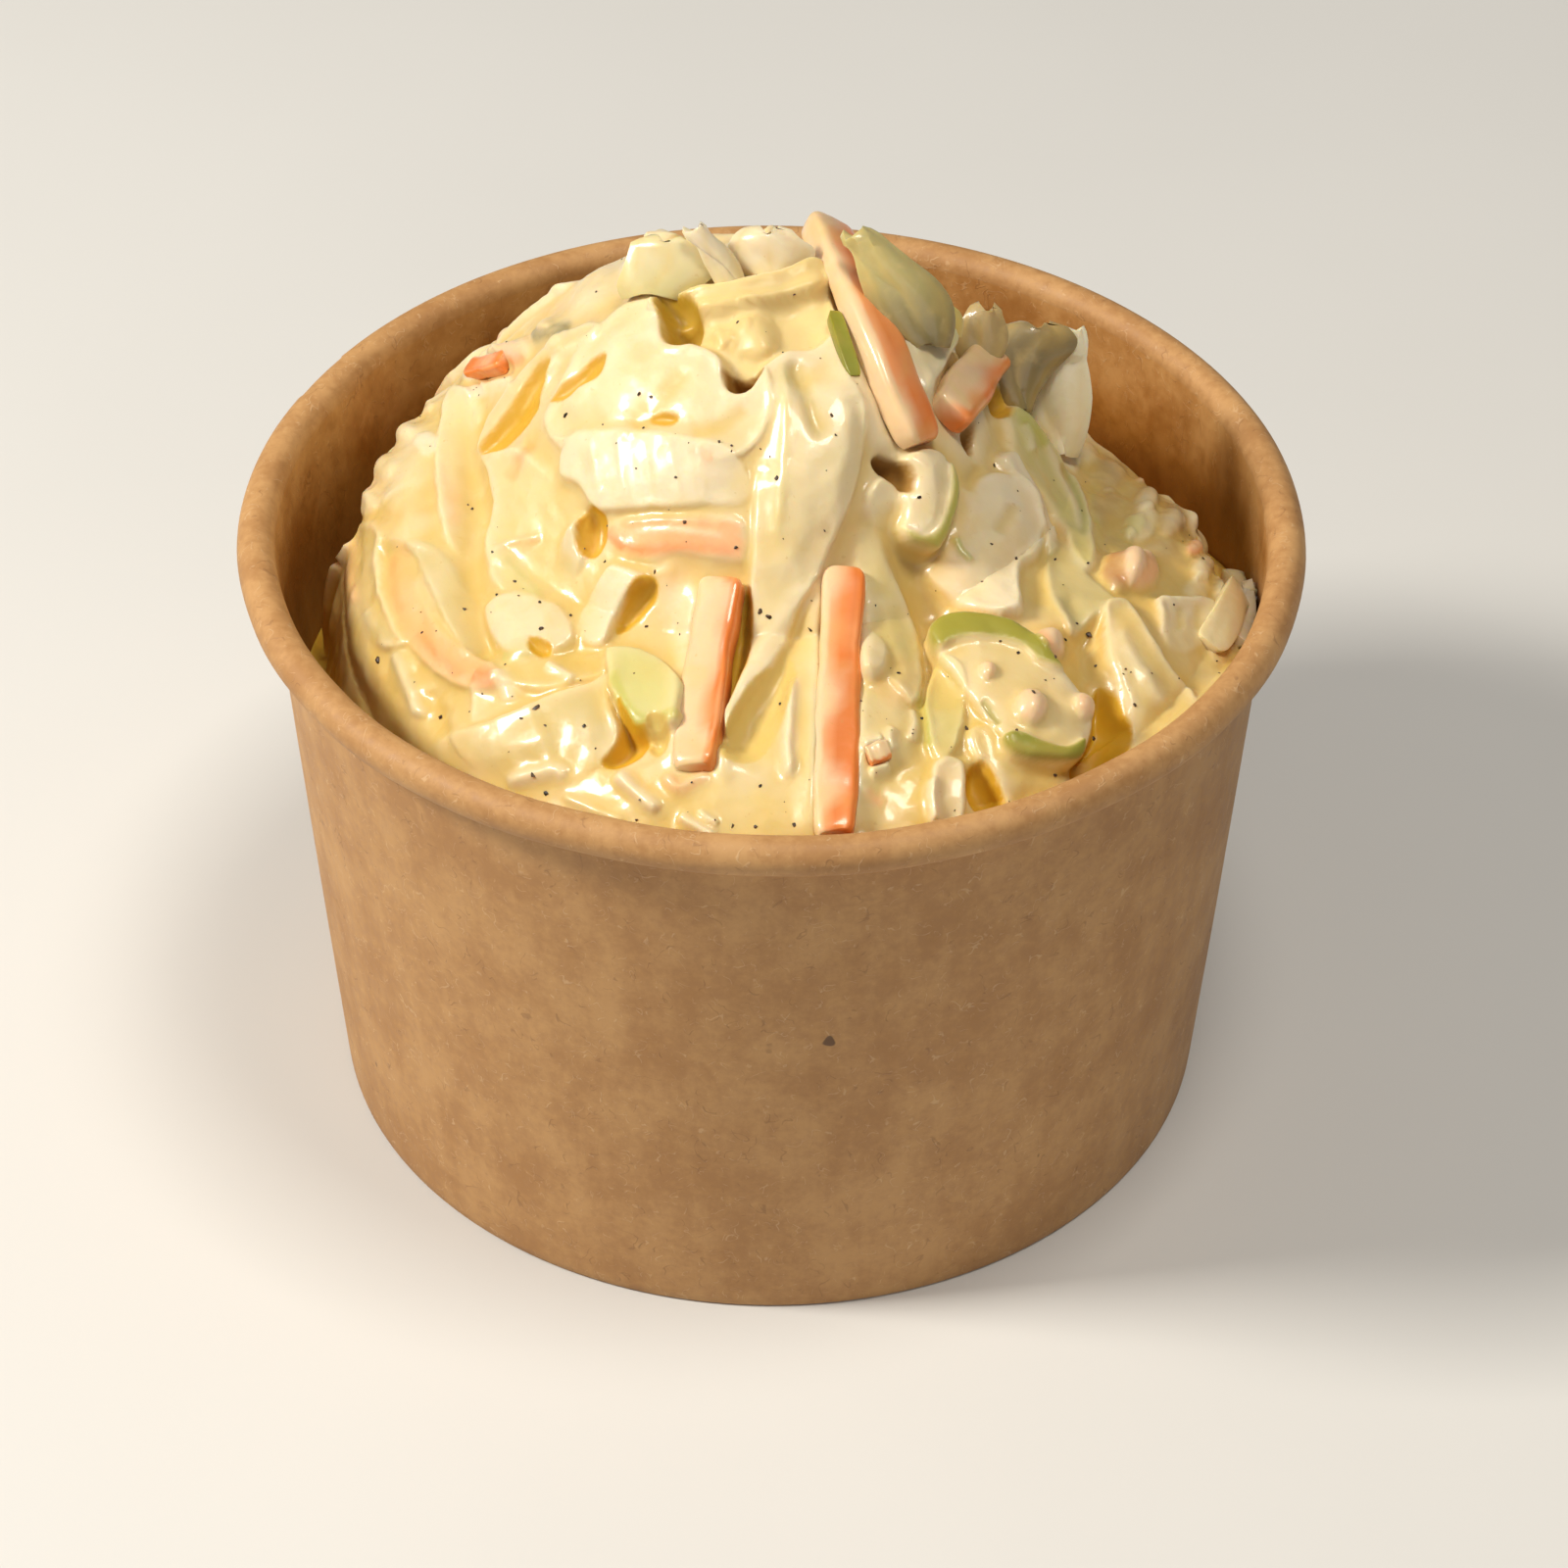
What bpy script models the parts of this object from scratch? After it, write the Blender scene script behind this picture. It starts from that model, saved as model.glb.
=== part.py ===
"""A kraft paper pot of coleslaw: a turned paper cup with a rolled rim, its base disc, and the heaped salad.

Origin at the centre of the foot, +Z up, metres. The salad's lists are in millimetres on the plan of the pot,
seen from above with -Y towards the front, and each piece is laid on the heap at that place.
"""

import math
import random

import bpy
import bmesh
from mathutils import Vector, noise

MM = 0.001
GAP = 0.3 * MM

# The paper cup.
RIM_DIAMETER = 90 * MM
CUP_HEIGHT = 56 * MM
FOOT_DIAMETER = 77 * MM
ROLL_RADIUS = 1.6 * MM
PAPER = 0.5 * MM
FOLD_THICKNESS = 1.4 * MM
FOLD_HEIGHT = 6 * MM
DISC_THICKNESS = 0.6 * MM
FOOT_ROUNDING = 0.2 * MM
TURNS = 72
ROLL_START = 180
ROLL_END = -130
ROLL_STEP = 31

# The heap of salad, in millimetres, at every 30 degrees of bearing from -180 on: how far out it stands up, the height
# of its shoulder, the level at its foot, the floor of the gap between it and the cup, and how square its edge is.
HEAP_ROUND = (
    (36.6, 60.5, 48.0, 38.0, 7.0),
    (37.5, 60.0, 47.0, 45.0, 5.0),
    (39.4, 60.0, 50.5, 50.5, 4.0),
    (40.8, 60.0, 54.0, 54.0, 4.0),
    (40.8, 60.0, 54.0, 54.0, 4.0),
    (39.5, 60.0, 54.0, 54.0, 4.0),
    (36.5, 58.5, 51.5, 46.0, 5.0),
    (34.8, 58.0, 48.0, 40.0, 6.0),
    (34.3, 58.5, 47.0, 40.0, 6.0),
    (33.5, 58.5, 47.0, 42.0, 6.0),
    (35.0, 60.5, 48.0, 41.0, 7.0),
    (36.5, 61.0, 48.0, 37.0, 7.0),
)
HEAP_MIDDLE = (0.0, 60.0, 48.0, 48.0, 4.0)
GAP_SIDE = 0.07
CROWN_CENTRE = (-0.3, 4.0)
CROWN_RADII = (25.3, 26.5)
CROWN_HEIGHT = 15.2
CORE_SINK = 1.0
LUMP_HEIGHT = 0.9
LUMP_SPAN = 7.0
CORE_SHARES = (0.1, 0.2, 0.3, 0.4, 0.5, 0.59, 0.68, 0.76, 0.84, 0.91, 0.97, 1.0, 1.07)
CORE_SPOKES = 54

# Hollows between the pieces: x, y, half length, half width, bearing of the length in degrees, depth.
HOLLOWS = (
    (-8.0, -1.2, 2.6, 2.0, 80, 3.6),
    (-4.0, 0.5, 7.0, 4.0, 10, 1.4),
    (-21.2, -2.6, 4.6, 1.3, 57, 2.8),
    (-16.5, -2.0, 3.0, 1.1, 37, 2.2),
    (-15.0, -15.6, 2.4, 1.4, 90, 3.6),
    (-10.8, -20.4, 3.0, 1.5, 52, 2.6),
    (-3.0, -8.4, 2.4, 1.2, 20, 2.2),
    (10.0, -11.4, 2.2, 1.7, 140, 3.2),
    (16.0, -6.3, 2.2, 0.9, 110, 2.4),
    (-12.0, -33.4, 2.6, 1.5, 0, 1.8),
    (27.0, -29.5, 3.0, 2.0, 60, 2.4),
    (17.2, -36.5, 2.0, 1.4, 90, 1.8),
)

# Pieces lie this much lower than their lift, and reach this far down into the salad under them.
PIECE_SEAT = 0.4
PIECE_ROOT = 1.4

# Pieces that show: thickness, tilt in degrees, then x, y, lift and half width along each, all in millimetres.
CABBAGE = {
    "petal": (1.6, 0, ((3, -5, 0.6, 2.2), (3, -10, 0.7, 4.2), (1.8, -17, 0.8, 4.8), (0, -24, 1.0, 3.6),
                       (-2, -29, 0.8, 2.2), (-3.5, -33, 0.4, 0.6))),
    "second_petal": (1.8, 0, ((8, -13, 0.4, 1.6), (10, -18, 0.7, 2.9), (12, -24, 0.7, 3.0),
                              (13.5, -30, 0.4, 2.4), (14, -35, 0.1, 1.2))),
    "lobe": (2.0, 0, ((-19, -10.5, 0.7, 1.2), (-15, -11.5, 1.1, 3.0), (-9, -12, 1.1, 3.6),
                      (-3, -12, 0.8, 3.2), (0.5, -11.5, 0.4, 2.0))),
    "scalloped_leaf": (1.4, 0, ((-23, -4, 0.5, 2.0), (-18, -2.5, 0.8, 4.5), (-12, -3.5, 1.0, 5.2),
                                (-7, -6, 1.2, 4.0), (-3, -7.5, 1.0, 1.6))),
    "crown_strip": (1.4, -8, ((-12, 2.5, 0.5, 1.5), (-8, 4, 0.8, 2.0), (-3, 5.5, 1.0, 2.2), (4.5, 6, 0.9, 1.6))),
    "crown_leaf": (1.2, 8, ((-14, 5, 0.1, 2.4), (-9, 8, 0.5, 3.2), (-3, 10, 0.4, 2.6))),
    "crown_ribbon": (1.3, 0, ((-9, 15, 0.5, 1.2), (-6, 12.5, 0.8, 1.4), (-3.5, 9, 0.9, 1.7))),
    "crown_oval": (1.8, 0, ((-4, 13, 0.3, 1.0), (-1, 12.5, 0.6, 2.0), (3, 10.5, 0.5, 1.8), (6, 9, 0.4, 0.8))),
    "crown_far_leaf": (1.4, 10, ((7, 13, 0.1, 1.5), (11, 9, 0.3, 3.0), (14.5, 5, 0.2, 2.5))),
    "tongue": (1.5, 8, ((-17.5, -21, 0.4, 1.2), (-14.5, -19.5, 0.9, 1.7), (-11, -18, 1.3, 1.5))),
    "left_lobe": (1.5, 0, ((-18, -13, 0.4, 1.2), (-17.5, -16, 0.8, 1.7), (-17, -19, 0.3, 1.0))),
    "lower_leaf": (1.4, 0, ((-27, -28.5, 0.5, 0.9), (-23, -30, 0.8, 2.6), (-18, -30, 1.0, 3.8),
                            (-13.5, -30.5, 1.0, 3.6), (-11.5, -32, 0.8, 1.4))),
    "left_fall": (1.5, 0, ((-33, 1, 0.1, 1.2), (-33, -4, 0.3, 2.0), (-31.8, -11, 0.3, 2.2),
                           (-29.5, -18, 0.2, 2.0), (-27, -24, 0.1, 1.2))),
    "left_inner": (1.5, 0, ((-29, -5, 0.5, 1.4), (-26.5, -9, 0.7, 2.2), (-24.5, -15, 0.6, 2.6), (-23.5, -20, 0.3, 1.6))),
    "shoulder_outer": (1.5, 0, ((-25, 12, 0.4, 1.0), (-27.5, 6, 0.7, 1.8), (-30, 0, 0.4, 1.4))),
    "shoulder_inner": (1.4, 0, ((-20, 11, 0.5, 1.2), (-24, 4, 0.8, 2.2), (-27, -3, 0.4, 1.6))),
    "swirl": (2.6, 0, ((17.5, -4, 0.6, 1.8), (20, -7, 1.1, 2.4), (21.5, -11, 1.2, 2.6), (20.5, -15, 0.8, 2.2),
                       (18, -17, 0.3, 1.4))),
    "standing_leaf": (1.2, 0, ((27.5, -10, 0.2, 1.4), (26.5, -4, 1.0, 2.2), (25.5, 1, 3.0, 2.8),
                               (25, 4.5, 5.5, 2.2), (25.4, 6.5, 7.5, 0.6))),
    "pale_strip": (1.4, 0, ((20.5, 3, 0.7, 1.2), (22.5, -1.5, 1.1, 1.8), (24, -7, 0.7, 1.6))),
    "green_leaf": (1.2, 0, ((24.5, -4, 0.2, 1.4), (26, -9, 0.4, 2.0), (28, -15, 0.2, 1.6))),
    "far_leaf": (1.1, 30, ((13, 12, 1.0, 1.5), (17.5, 11.5, 1.8, 2.8), (22, 9, 1.0, 2.0))),
    "fold_leaf": (1.6, 0, ((26.5, -13, 0.4, 1.6), (29, -17, 0.8, 3.2), (31, -21.5, 0.6, 3.0), (31, -25, 0.1, 1.2))),
    "rib_block": (2.2, 0, ((31.5, -8, 0.5, 2.0), (33.5, -13, 0.5, 2.2))),
    "rib_cube": (2.2, 0, ((35, -3.5, 0.6, 1.6), (36.5, -6.5, 0.6, 1.6))),
    "wall_leaf": (1.3, 0, ((37.5, -5, 0.6, 0.8), (37.3, -12, 0.8, 1.8), (35, -18, 0.4, 1.6))),
    "front_strip": (1.5, 0, ((15.5, -31, 0.2, 1.0), (15.3, -34.5, 0.4, 1.5), (14.8, -37, 0.4, 1.3))),
}
CARROT = {
    "crown_stick": (2.4, 0, ((4.5, 13, 0.7, 1.1), (6.5, 7, 0.8, 1.4), (8.4, 0, 0.9, 1.6), (10.4, -5, 0.9, 1.7),
                             (12.3, -8.6, 0.6, 1.6))),
    "stub": (2.8, 0, ((17, 5, 1.6, 1.3), (15, 0.5, 1.5, 2.2), (13.3, -3.2, 1.0, 2.2))),
    "across": (2.2, 0, ((-14.5, -14.8, 0.3, 1.7), (-9, -15.8, 0.5, 2.1), (-3, -16.8, 0.4, 2.0))),
    "left_stick": (2.4, 0, ((-4.3, -19.5, 0.6, 1.8), (-5, -26, 0.7, 1.8), (-6, -32, 0.5, 1.7), (-6.8, -36, 0.1, 1.2))),
    "front_stick": (2.4, 0, ((6, -18.3, 0.7, 1.6), (6, -25, 0.8, 1.6), (5.5, -32, 0.5, 1.6), (5.2, -38.5, 0.3, 1.6))),
    "arc": (2.0, 0, ((-31.8, -5, 0.4, 1.4), (-30.8, -10, 0.6, 1.7), (-28.5, -15, 0.6, 1.7), (-25.6, -20, 0.5, 1.6),
                     (-22.3, -22.7, 0.3, 1.0))),
    "right_end": (2.8, 0, ((29.5, -8.5, 0.7, 1.8), (31, -12.5, 0.5, 1.8))),
    "back_bit": (2.4, 0, ((-25, 25.5, 0.8, 1.5), (-20, 27, 1.0, 1.4))),
    "side_bit": (2.0, 0, ((-23, 16, 0.4, 1.2), (-27, 12, 0.4, 1.2))),
    "shoulder_bit": (2.0, 0, ((31.5, 4, 0.6, 1.2), (33.5, 0.5, 0.5, 1.2))),
}
CELERY = {
    "chunk": (2.4, 0, ((-11.3, -23.5, 0.7, 2.3), (-10.7, -28, 0.9, 2.7), (-10.2, -31.5, 0.7, 2.2))),
    "middle": (2.6, 0, ((12.5, -10.3, 0.6, 1.6), (13.2, -13.5, 0.9, 2.3), (12.6, -16.8, 0.6, 2.0))),
    "slice": (2.4, 0, ((13.3, -19.8, 0.7, 1.2), (16, -23, 1.0, 3.6), (19, -27, 1.1, 4.3), (21.6, -30.4, 0.8, 3.6),
                       (22.6, -32.6, 0.4, 1.4))),
    "crown_cube": (2.2, 0, ((13, 4.5, 1.2, 1.4), (15.4, 2.2, 1.2, 1.4))),
    "sliver": (1.0, 0, ((5.2, -0.8, 0.9, 0.5), (6.2, -3, 1.1, 0.9), (7, -5.6, 0.8, 0.4))),
}
# Round bits of carrot and ham on the celery slice: x, y, lift, radius.
BITS = (
    (17.3, -24.5, 2.0, 1.1),
    (20.4, -28.8, 2.0, 1.9),
    (23.6, -27.6, 1.4, 1.9),
    (22.8, -20.2, 1.2, 2.2),
    (8.6, -33.0, 0.2, 1.3),
)

# Shreds scattered by rule over the sides that the pieces above leave bare.
SCATTER_SEED = 41
SCATTERED = 34
SCATTER_TRIES = 900
SCATTER_KEEP_OFF = 4.5
SCATTER_RADII = (9.0, 34.0)
SHRED_HALF_LENGTH = (3.6, 7.5)
SHRED_HALF_WIDTH = (1.0, 2.0)
SHRED_THICKNESS = 1.4
SHRED_LIFT = (0.1, 0.7)
SHRED_BEND = 0.55
FRONT_BEARING = math.radians(-90)
FRONT_SPREAD = math.radians(75)
KRAFT = ((0.62, 0.42, 0.24, 1.0), 0.75)
SLAW = ((0.93, 0.84, 0.58, 1.0), 0.3)


def clear_scene():
    for old in list(bpy.data.objects):
        bpy.data.objects.remove(old)


def material(name, finish):
    colour, roughness = finish
    made = bpy.data.materials.new(name)
    made.use_nodes = True
    shader = made.node_tree.nodes["Principled BSDF"]
    shader.inputs["Base Color"].default_value = colour
    shader.inputs["Roughness"].default_value = roughness
    shader.inputs["Metallic"].default_value = 0.0
    return made


def new_object(name, mesh_data, finish, collection=None):
    made = bpy.data.objects.new(name, mesh_data)
    (collection or bpy.context.scene.collection).objects.link(made)
    made.data.materials.append(finish)
    return made


def smooth_step(value):
    t = min(max(value, 0.0), 1.0)
    return t * t * (3 - 2 * t)


def turned(name, profile, finish):
    """A closed profile of (radius, height) in the XZ plane, spun about Z into one solid."""
    shape = bmesh.new()
    corners = [shape.verts.new((radius, 0, height)) for radius, height in profile]
    edges = [shape.edges.new((a, b)) for a, b in zip(corners, corners[1:] + corners[:1])]
    bmesh.ops.spin(shape, geom=corners + edges, cent=(0, 0, 0), axis=(0, 0, 1), angle=math.tau, steps=TURNS,
                   use_duplicate=False)
    bmesh.ops.remove_doubles(shape, verts=shape.verts, dist=0.01 * MM)
    bmesh.ops.recalc_face_normals(shape, faces=shape.faces)
    mesh_data = bpy.data.meshes.new(name)
    shape.to_mesh(mesh_data)
    shape.free()
    mesh_data.shade_smooth()
    mesh_data.set_sharp_from_angle(angle=math.radians(40))
    return new_object(name, mesh_data, finish)


def outer_radius(height):
    """The outside of the tapered wall at a height, up to the underside of the roll."""
    roll_centre = RIM_DIAMETER / 2 - ROLL_RADIUS
    top = roll_centre + ROLL_RADIUS * math.cos(math.radians(ROLL_END))
    top_height = CUP_HEIGHT - ROLL_RADIUS + ROLL_RADIUS * math.sin(math.radians(ROLL_END))
    return FOOT_DIAMETER / 2 + (top - FOOT_DIAMETER / 2) * height / top_height


def cup_wall(finish):
    """The side of the cup: rolled rim, tapered wall, and the foot where the paper folds inwards and up."""
    centre = RIM_DIAMETER / 2 - ROLL_RADIUS
    level = CUP_HEIGHT - ROLL_RADIUS
    roll = [
        (centre + ROLL_RADIUS * math.cos(math.radians(a)), level + ROLL_RADIUS * math.sin(math.radians(a)))
        for a in range(ROLL_START, ROLL_END - 1, -ROLL_STEP)
    ]
    foot = FOOT_DIAMETER / 2
    fold = foot - FOLD_THICKNESS
    below = [
        (foot, FOOT_ROUNDING),
        (foot - FOOT_ROUNDING, 0),
        (fold + FOOT_ROUNDING, 0),
        (fold, FOOT_ROUNDING),
        (outer_radius(FOLD_HEIGHT) - FOLD_THICKNESS, FOLD_HEIGHT),
        (outer_radius(FOLD_HEIGHT) - PAPER, FOLD_HEIGHT),
    ]
    return turned("cup_wall", roll + below, finish)


def base_disc(finish):
    """The paper disc that rests on the folded foot."""
    bottom = FOLD_HEIGHT + GAP
    top = bottom + DISC_THICKNESS
    radius = outer_radius(bottom) - PAPER - GAP
    profile = [(0.0, bottom), (radius, bottom), (radius, top), (0.0, top)]
    shape = bmesh.new()
    bmesh.ops.create_cone(shape, cap_ends=True, segments=TURNS, radius1=radius, radius2=radius, depth=top - bottom)
    bmesh.ops.translate(shape, verts=shape.verts, vec=(0, 0, (profile[0][1] + profile[2][1]) / 2))
    mesh_data = bpy.data.meshes.new("cup_base")
    shape.to_mesh(mesh_data)
    shape.free()
    return new_object("cup_base", mesh_data, finish)


def hollow_depth(x, y):
    """How far the hollows between the pieces sink the heap at a place on the plan."""
    depth = 0.0
    for cx, cy, half_length, half_width, bearing, deep in HOLLOWS:
        turn = math.radians(bearing)
        along = (x - cx) * math.cos(turn) + (y - cy) * math.sin(turn)
        across = -(x - cx) * math.sin(turn) + (y - cy) * math.cos(turn)
        reach = math.hypot(along / half_length, across / half_width)
        depth += deep * smooth_step(1.35 - reach)
    return depth


def around(bearing):
    """The heap's reach, shoulder, foot, floor and squareness on a bearing, on a smooth curve through the table."""
    where = (math.degrees(bearing) + 180) / 30
    first = math.floor(where)
    t = where - first
    count = len(HEAP_ROUND)
    before, start, end, after = (HEAP_ROUND[(first + k) % count] for k in (-1, 0, 1, 2))
    return [
        0.5 * (2 * b + (c - a) * t + (2 * a - 5 * b + 4 * c - d) * t**2 + (3 * b - a - 3 * c + d) * t**3)
        for a, b, c, d in zip(before, start, end, after)
    ]


def heap_top(x, y):
    """The height of the heap, in millimetres, over a place on the plan: foot, shoulder, crown and back pile."""
    radius, bearing = math.hypot(x, y), math.atan2(y, x)
    outwards = min(radius / 20, 1.0) ** 2
    reach, *levels = around(bearing)
    shoulder, foot, _, square = (m + (v - m) * outwards for m, v in zip(HEAP_MIDDLE[1:], levels))
    mound = (shoulder - foot) * (1 - min(radius / reach, 1.0) ** square) ** 0.8
    off_crown = math.hypot((x - CROWN_CENTRE[0]) / CROWN_RADII[0], (y - CROWN_CENTRE[1]) / CROWN_RADII[1])
    crown = CROWN_HEIGHT * (1 - min(off_crown, 1.0) ** 2.2) ** 1.15
    return foot + mound + crown


def gap_depth(x, y):
    """How far the gap between heap and cup drops below the heap's foot at a place on the plan."""
    reach, _, foot, floor, _ = around(math.atan2(y, x))
    return (foot - floor) * smooth_step((math.hypot(x, y) / reach - 1.0) / GAP_SIDE)


def heap_normal(x, y):
    step = 0.4
    slope_x = (heap_top(x + step, y) - heap_top(x - step, y)) / (2 * step)
    slope_y = (heap_top(x, y + step) - heap_top(x, y - step)) / (2 * step)
    return Vector((-slope_x, -slope_y, 1)).normalized()


def inner_limit(height):
    """How far out the salad may reach at a height in millimetres, a gap clear of the wall."""
    return (outer_radius(min(height * MM, CUP_HEIGHT - ROLL_RADIUS)) - PAPER - GAP) / MM


def core(finish, collection):
    """The dressed salad under the pieces: it fills the cup and rises as a lumpy heap with hollows."""
    floor = (FOLD_HEIGHT + 2 * GAP + DISC_THICKNESS) / MM
    shape = bmesh.new()
    rings = []
    for share in CORE_SHARES + (None,):
        row = []
        for spoke in range(CORE_SPOKES):
            bearing = math.tau * spoke / CORE_SPOKES
            reach, _, _, floor_level, _ = around(bearing)
            edge = inner_limit(floor_level - CORE_SINK)
            radius = edge if share is None else min(share * reach, edge * (0.9 + 0.08 * share))
            x, y = radius * math.cos(bearing), radius * math.sin(bearing)
            height = heap_top(x, y) - CORE_SINK - hollow_depth(x, y) - gap_depth(x, y)
            calm = smooth_step((share or 1.0) * 4) * (1 - (share or 1.0) ** 6)
            lumps = noise.noise(Vector((x, y, 0)) / LUMP_SPAN) * LUMP_HEIGHT * max(calm, 0.0)
            row.append(shape.verts.new(Vector((x, y, height + lumps)) * MM))
        rings.append(row)
    floor_edge = inner_limit(floor)
    rings.append([
        shape.verts.new(Vector((floor_edge * math.cos(math.tau * s / CORE_SPOKES),
                                floor_edge * math.sin(math.tau * s / CORE_SPOKES), floor)) * MM)
        for s in range(CORE_SPOKES)
    ])
    peak = shape.verts.new(Vector((0, 0, heap_top(0, 0) - CORE_SINK - hollow_depth(0, 0))) * MM)
    for spoke in range(CORE_SPOKES):
        after = (spoke + 1) % CORE_SPOKES
        shape.faces.new((peak, rings[0][spoke], rings[0][after]))
        for inner, outer in zip(rings, rings[1:]):
            shape.faces.new((inner[spoke], outer[spoke], outer[after], inner[after]))
    shape.faces.new(list(reversed(rings[-1])))
    bmesh.ops.triangulate(shape, faces=shape.faces)
    bmesh.ops.recalc_face_normals(shape, faces=shape.faces)
    mesh_data = bpy.data.meshes.new("slaw")
    shape.to_mesh(mesh_data)
    shape.free()
    return new_object("slaw", mesh_data, finish, collection)


def along_path(points, steps):
    """Points on a smooth curve through (x, y, lift, half width) stations, evenly spaced in station number."""
    found = []
    last = len(points) - 1
    for step in range(steps + 1):
        where = last * step / steps
        i = min(int(where), last - 1)
        t = where - i
        before, start, end, after = (Vector(points[min(max(k, 0), last)]) for k in (i - 1, i, i + 1, i + 2))
        found.append(0.5 * (2 * start + (end - before) * t + (2 * before - 5 * start + 4 * end - after) * t**2
                            + (3 * start - before - 3 * end + after) * t**3))
    return found


def laid_strip(name, thickness, tilt, points, across, finish, collection):
    """A strip of even thickness laid on the heap along a path: both faces are split alike, and its rim is square."""
    steps = 2 * (len(points) - 1) if across > 1 else len(points)
    stations = along_path(points, steps)
    lean = math.radians(tilt)
    shape = bmesh.new()
    rows = {1: [], -1: []}
    for k, (x, y, lift, half_width) in enumerate(stations):
        ahead, behind = stations[min(k + 1, steps)], stations[max(k - 1, 0)]
        heading = Vector((ahead[0] - behind[0], ahead[1] - behind[1], 0)).normalized()
        up = heap_normal(x, y)
        side = up.cross(heading).normalized()
        for face in (1, -1):
            row = []
            for j in range(across + 1):
                out = (2 * j / across - 1) * max(half_width, 0.4)
                flat = Vector((x, y, 0)) + side * out * math.cos(lean)
                height = heap_top(flat.x, flat.y)
                root = max(PIECE_ROOT - max(lift - 1.5, 0.0), 0.0)
                rise = lift + out * math.sin(lean) + (thickness / 2 - PIECE_SEAT if face == 1 else -thickness / 2 - root)
                place = Vector((flat.x, flat.y, height)) + up * rise
                limit = inner_limit(min(place.z, CUP_HEIGHT / MM)) - 0.2
                reach = math.hypot(place.x, place.y)
                if reach > limit and place.z < CUP_HEIGHT / MM + 2:
                    place.x, place.y = place.x * limit / reach, place.y * limit / reach
                row.append(shape.verts.new(place * MM))
            rows[face].append(row)
    for k in range(steps):
        for j in range(across):
            top = (rows[1][k][j], rows[1][k + 1][j], rows[1][k + 1][j + 1], rows[1][k][j + 1])
            under = (rows[-1][k][j], rows[-1][k + 1][j], rows[-1][k + 1][j + 1], rows[-1][k][j + 1])
            for quad, flip in ((top, False), (under, True)):
                for corners in ((quad[0], quad[1], quad[2]), (quad[0], quad[2], quad[3])):
                    shape.faces.new(tuple(reversed(corners)) if flip else corners)
        for j, flip in ((0, True), (across, False)):
            quad = (rows[1][k][j], rows[1][k + 1][j], rows[-1][k + 1][j], rows[-1][k][j])
            shape.faces.new(tuple(reversed(quad)) if flip else quad)
    for k, flip in ((0, False), (steps, True)):
        for j in range(across):
            quad = (rows[1][k][j], rows[1][k][j + 1], rows[-1][k][j + 1], rows[-1][k][j])
            shape.faces.new(tuple(reversed(quad)) if flip else quad)
    bmesh.ops.triangulate(shape, faces=[f for f in shape.faces if len(f.verts) > 3])
    bmesh.ops.recalc_face_normals(shape, faces=shape.faces)
    mesh_data = bpy.data.meshes.new(name)
    shape.to_mesh(mesh_data)
    shape.free()
    return new_object(name, mesh_data, finish, collection)


def round_bit(name, x, y, lift, radius, finish, collection):
    shape = bmesh.new()
    bmesh.ops.create_icosphere(shape, subdivisions=1, radius=radius * MM)
    place = Vector((x, y, heap_top(x, y))) + heap_normal(x, y) * lift
    bmesh.ops.translate(shape, verts=shape.verts, vec=place * MM)
    mesh_data = bpy.data.meshes.new(name)
    shape.to_mesh(mesh_data)
    shape.free()
    return new_object(name, mesh_data, finish, collection)


def near_a_piece(x, y):
    """Whether a place is close to a piece from the lists."""
    for kind in (CABBAGE, CARROT, CELERY):
        for _, _, points in kind.values():
            for station in points:
                if math.hypot(x - station[0], y - station[1]) < SCATTER_KEEP_OFF:
                    return True
    return False


def scatter(finish, collection):
    """Shreds at seeded places over the heap, clear of the listed pieces and of the gap beside the heap."""
    draw = random.Random(SCATTER_SEED)
    made = 0
    for _ in range(SCATTER_TRIES):
        if made == SCATTERED:
            return
        bearing = draw.uniform(-math.pi, math.pi)
        radius = math.sqrt(draw.uniform(SCATTER_RADII[0] ** 2, SCATTER_RADII[1] ** 2))
        x, y = radius * math.cos(bearing), radius * math.sin(bearing)
        heading = bearing + draw.gauss(0, 0.7)
        half_length = draw.uniform(*SHRED_HALF_LENGTH)
        half_width = draw.uniform(*SHRED_HALF_WIDTH)
        lift = draw.uniform(*SHRED_LIFT)
        bend = draw.uniform(-SHRED_BEND, SHRED_BEND)
        ends = [(x + s * half_length * math.cos(heading + s * bend), y + s * half_length * math.sin(heading + s * bend))
                for s in (-1, 1)]
        spots = [ends[0], (x, y), ends[1]]
        facing_front = abs(bearing - FRONT_BEARING) < FRONT_SPREAD
        if facing_front or any(near_a_piece(*spot) for spot in spots):
            continue
        if any(math.hypot(*spot) > around(bearing)[0] - 2.0 for spot in spots):
            continue
        points = [(px, py, lift if k == 1 else lift - 0.5, half_width if k == 1 else 0.6 * half_width)
                  for k, (px, py) in enumerate(spots)]
        laid_strip(f"shred_{made}", SHRED_THICKNESS, 0, points, 1, finish, collection)
        made += 1


def keep_outer_shell(made):
    """Fills the hollows that fusing sealed and drops loose scraps: only the largest shell stays."""
    shape = bmesh.new()
    shape.from_mesh(made.data)
    unseen = set(shape.faces)
    shells = []
    while unseen:
        shell, front = set(), [unseen.pop()]
        while front:
            face = front.pop()
            shell.add(face)
            near = {other for edge in face.edges for other in edge.link_faces} & unseen
            unseen -= near
            front.extend(near)
        shells.append(shell)
    largest = max(shells, key=len)
    spare = [face for shell in shells if shell is not largest for face in shell]
    bmesh.ops.delete(shape, geom=spare, context="FACES")
    shape.to_mesh(made.data)
    shape.free()


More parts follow.
